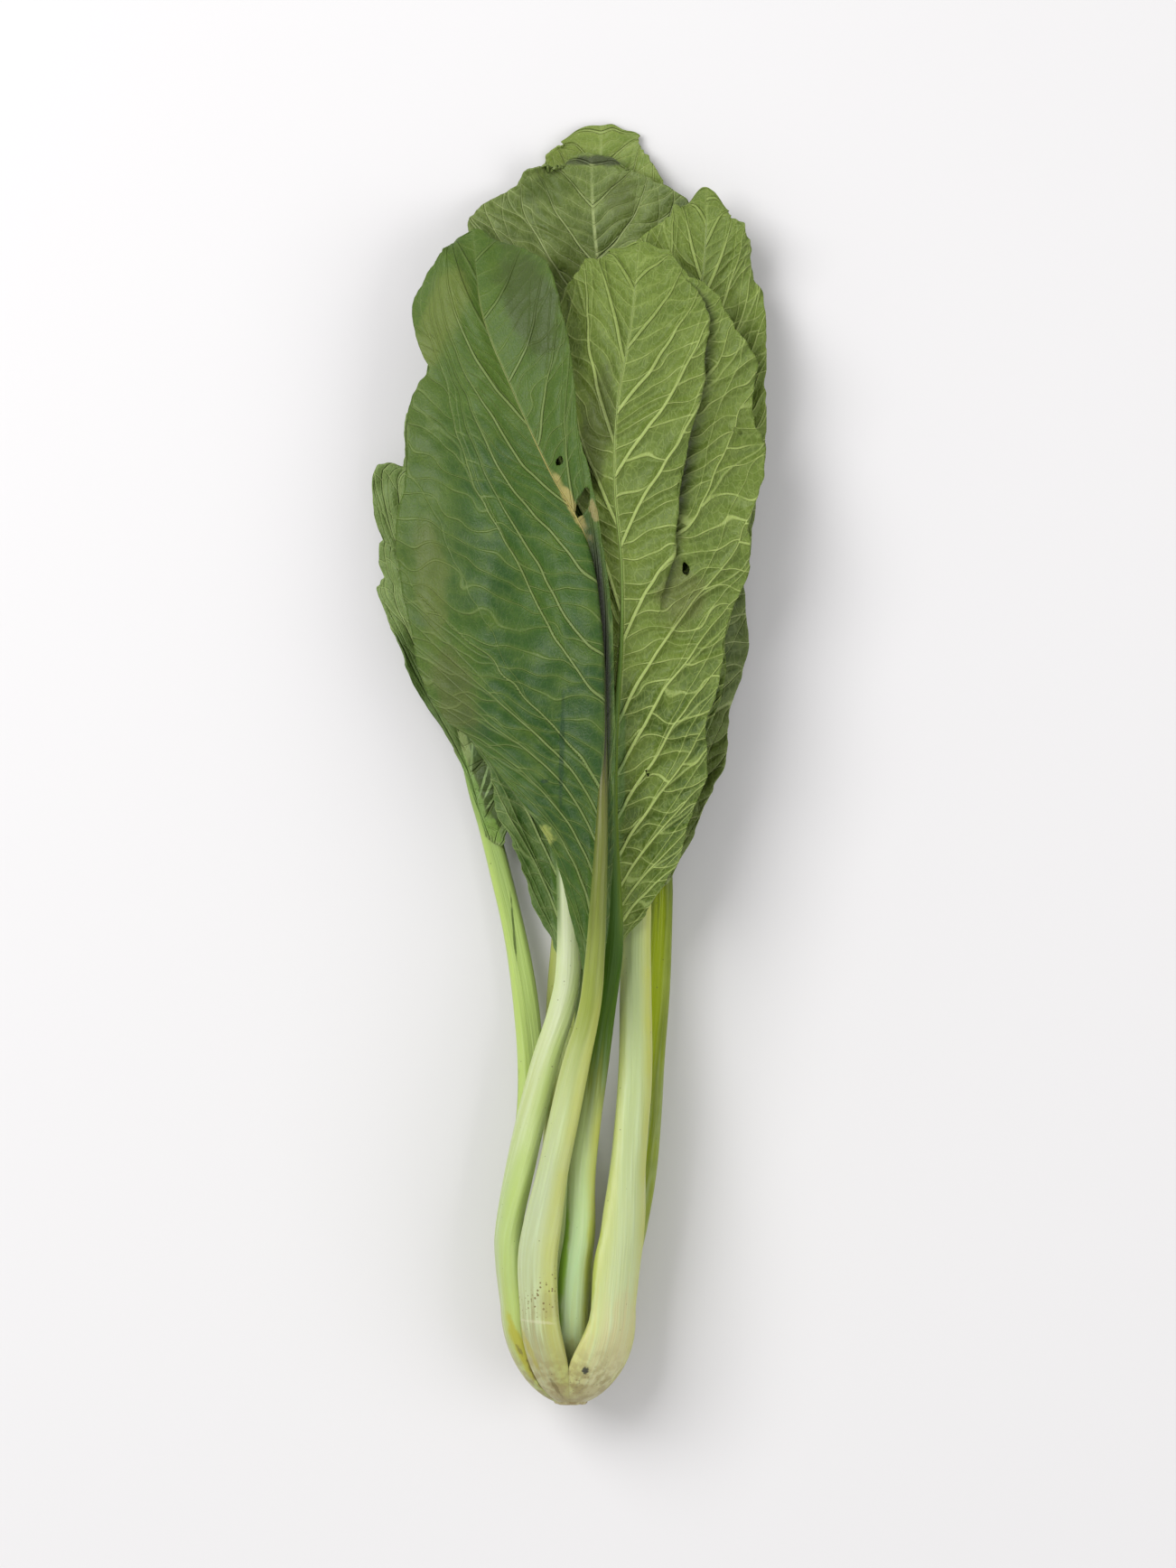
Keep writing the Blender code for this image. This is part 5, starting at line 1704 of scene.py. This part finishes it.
# the strings under the skin, and what is pale, green at the edge or bruised
STRINGS = (1.1, 0.035)
JUICY_Y = (-70.0, -110.0)
EDGE_FADE = 20.0
EDGES = ((-0.35, -0.95), (0.0, 0.72))
BRUISED_Y = (-187.0, -166.0)
STALK_CLOUD = (0.09, 3.0)
TONE_SHIFT = (0.2, 0.8, -9.0, 9.0)
MILKY_STRINGS = (0.42, 0.7)
JUICY_COVER = 0.4
PETIOLE_END = 0.12
EDGE_CLOUD = (0.3, 0.7, 0.7, 1.0)
FLANK = (0.35, 0.85)
FLANK_FROM = 0.1
BRUISE = (0.35, 4.0)
BRUISE_FADE = (0.4, 0.62)
BRUISE_COVER = 0.9
DOT_COVER = 0.55
STALK_ROUGHNESS = (0.2, 0.8, 0.30, 0.46)
# specks: how many to a mm, how rare they are, and how wide the widest are
DOTS = (0.55, 0.75, 0.13)
FLECKS = (1.15, 0.35, 0.42)
STALK_BUMP = 0.3
STALK_FLESH = {"Subsurface Weight": 0.3, "Subsurface Radius": (1.0, 1.2, 0.45),
               "Subsurface Scale": 2.5 * MM}


def stalk_finish(leaf):
    """The finish of a leaf's stalk and midrib."""
    f = Finish(leaf.name + " stalk")
    across, out, along = f.split(f.given("stalk_space"))
    share, v, _ = f.split(f.given("stalk_ring"))
    place = f.place()
    wide, long = STRINGS
    strings = f.noise(f.vector(f.times(across, wide), f.times(along, long), out), 1.0, 3.0)
    cloud = f.noise(place, *STALK_CLOUD)
    uneven = f.math("ADD", along, f.fade(strings, *TONE_SHIFT))
    tone = f.along(uneven, leaf.plan["stalk"])
    juicy = f.fade(along, *JUICY_Y, 0.0, JUICY_COVER)
    tone = f.over(tone, STALK_TONES["milky"], f.fade(strings, *MILKY_STRINGS), juicy)
    *strengths, colour, end_y = leaf.plan["edges"]
    petiole = f.times(f.fade(v, 0.0, PETIOLE_END, 1.0, 0.0),
                      f.fade(along, end_y, end_y + EDGE_FADE, 1.0, 0.0))
    for strength, stops in zip(strengths, EDGES):
        tone = f.over(tone, STALK_TONES[colour], f.fade(share, *stops),
                      f.fade(cloud, *EDGE_CLOUD), petiole, strength)
    flank = f.fade(f.math("ABSOLUTE", share), *FLANK)
    tone = f.over(tone, TONES[leaf.plan["tone"]]["mid"], flank, f.fade(v, 0.0, FLANK_FROM),
                  leaf.plan["flank"])
    rough = f.fade(f.noise(place, *BRUISE), *BRUISE_FADE)
    dry = f.fade(along, *BRUISED_Y, BRUISE_COVER, 0.0)
    tone = f.over(tone, STALK_TONES["bruise"], dry, rough)
    tone = f.over(tone, STALK_TONES["speck"], f.flecks(place, *DOTS), DOT_COVER)
    for *oval, cover in leaf.plan["specks"]:
        flecks = f.flecks(place, *FLECKS)
        tone = f.over(tone, STALK_TONES["brown"], flecks, f.patch(place, *oval), cover)
    tone = f.spots(tone, place, leaf.plan["stains"])
    f.bump(strings, STALK_BUMP)
    f.dress(tone, f.fade(cloud, *STALK_ROUGHNESS),
            {**STALK_FLESH, "Specular IOR Level": leaf.plan["gloss"]})
    return f.material


print("stalk tones:", list(STALK_TONES))

# %% [markdown]
# Now every leaf is made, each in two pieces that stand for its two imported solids.

# %% Make the leaves
for leaf in leaves.values():
    stalk = make_stalk(leaf, stalk_finish(leaf))
    blade = make_blade(leaf, blade_finish(leaf))
    print(leaf.name, "stalk faces", len(stalk.data.polygons), "blade faces", len(blade.data.polygons))

# %% [markdown]
# The crown is the short stem that the stalks grow from. It was cut when the head was picked,
# so its end is a rough disc, pale with a brown skin. A turned profile gives its form, and the
# cut face is made uneven.

# %% The crown
CROWN_PROFILE = (
    (-189.0, 0.0), (-189.0, 3.6), (-188.6, 4.7), (-186.5, 5.4), (-183.0, 6.4),
    (-180.0, 7.8), (-176.5, 7.6), (-173.5, 5.0), (-171.8, 0.0),
)
CROWN_SIDES = 72
CROWN_STEPS = 6
CROWN_TONES = dict(stem=(0.50, 0.46, 0.24), skin=(0.26, 0.19, 0.08), bundles=(0.16, 0.11, 0.05))
CROWN_ROUGH = (2.2, 21, 0.10, 0.5)
CROWN_CLOUD = (0.45, 4.0)
CROWN_GRAIN = (1.8, 3.0)
SKIN_FADE = (0.35, 0.65)
BUNDLES = 0.75
BUNDLE_FADE = (0.1, 0.35, 0.5, 0.0)
CROWN_BUMP = 0.5
CROWN_ROUGHNESS = 0.75
CUT_Y = -189.0
CUT_EDGE_Y = -186.5


def crown_finish():
    """Pale stem with a dry brown skin on its cut end."""
    f = Finish("crown")
    place = f.place()
    cloud = f.noise(place, *CROWN_CLOUD)
    fine = f.noise(place, *CROWN_GRAIN)
    tone = f.over(CROWN_TONES["stem"], CROWN_TONES["skin"], f.fade(cloud, *SKIN_FADE))
    bundles = f.cells(place, BUNDLES).outputs["Distance"]
    tone = f.over(tone, CROWN_TONES["bundles"], f.fade(bundles, *BUNDLE_FADE))
    f.bump(f.math("ADD", fine, cloud), CROWN_BUMP)
    f.dress(tone, CROWN_ROUGHNESS)
    return f.material


def make_crown(finish):
    """The turned crown with an uneven skin."""
    last = len(CROWN_PROFILE) - 1
    profile = through(CROWN_PROFILE, np.linspace(0, last, last * CROWN_STEPS + 1))
    y, radius = profile[1:-1].T
    angles = np.arange(CROWN_SIDES) * 2.0 * math.pi / CROWN_SIDES
    y, wide = [np.repeat(column[:, None], CROWN_SIDES, axis=1)
               for column in (y, np.maximum(radius, 0.0))]
    x, z = wide * np.cos(angles), wide * np.sin(angles)
    scale, seed, out, up = CROWN_ROUGH
    rough = wander(scale, seed, x, y, z).reshape(x.shape)
    grow = 1.0 + out * rough
    y = np.maximum(y + up * np.abs(rough) * (y < CUT_EDGE_Y), CUT_Y)
    points = np.stack([x * grow, y, z * grow + BULB_AXIS_Z], axis=-1)
    return make_piece("crown", points.reshape(-1, 3), loft_faces(*x.shape), finish, "crown")


crown = make_crown(crown_finish())
print("crown faces:", len(crown.data.polygons))

# %% [markdown]
# The head lies on a plain pale floor under soft studio light. Large lamps give the even light
# of the photo, a little stronger from the upper left, so that the folds keep their shadows.

# %% Floor and light
FLOOR_SIZE = 6.0
FLOOR_Z = -0.0002
FLOOR_TONE = (0.655, 0.645, 0.65)
KEY = ((-0.9, 0.6, 1.3), 1.1, 26.0)
FILL = ((1.1, -0.3, 1.2), 1.2, 9.0)
SKY = {"Color": (1.0, 1.0, 1.0, 1.0), "Strength": 0.58}


def make_floor():
    """A plain pale floor just below the head."""
    f = Finish("floor")
    f.dress(FLOOR_TONE, 0.7)
    half = FLOOR_SIZE / 2.0
    mesh = bpy.data.meshes.new("floor")
    corners = [(-half, -half, 0.0), (half, -half, 0.0), (half, half, 0.0), (-half, half, 0.0)]
    mesh.from_pydata(corners, [], [(0, 1, 2, 3)])
    mesh.materials.append(f.material)
    floor = add_object("floor", mesh)
    floor.location.z = FLOOR_Z


def make_lamp(name, place, size, power):
    """A square area lamp that faces the head."""
    light = bpy.data.lights.new(name, "AREA")
    light.shape = "SQUARE"
    light.size = size
    light.energy = power
    lamp = add_object(name, light)
    lamp.location = place
    lamp.rotation_euler = (-Vector(place)).to_track_quat("-Z", "Y").to_euler()


make_floor()
make_lamp("key", *KEY)
make_lamp("fill", *FILL)
world = bpy.data.worlds.new("studio")
world.use_nodes = True
for title, value in SKY.items():
    world.node_tree.nodes["Background"].inputs[title].default_value = value
SCENE.world = world
SCENE.view_settings.view_transform = "Standard"

# %% [markdown]
# The camera looks straight down, as in the photo. The photo's frame is 1302 by 1736 pixels and
# one of its pixels is 0.265 mm on the head, so the frame's height and centre follow. A long
# lens from far above keeps the view almost flat, as the sizes were measured.

# %% Camera
PIXEL = 0.265
FRAME_PIXELS = (1302, 1736)
HEAD_PIXEL = (632.0, 842.5)
CAMERA_RANGE = 2400.0
HEAD_MIDDLE_Z = 24.0

camera = add_object("camera", bpy.data.cameras.new("camera"))
frame_height = FRAME_PIXELS[1] * PIXEL
camera.data.lens = camera.data.sensor_width * CAMERA_RANGE / frame_height
aim = (FRAME_PIXELS[0] / 2.0 - HEAD_PIXEL[0], HEAD_PIXEL[1] - FRAME_PIXELS[1] / 2.0)
camera.location = (aim[0] * PIXEL * MM, aim[1] * PIXEL * MM, (CAMERA_RANGE + HEAD_MIDDLE_Z) * MM)
SCENE.camera = camera
print("lens in mm:", round(camera.data.lens, 1))
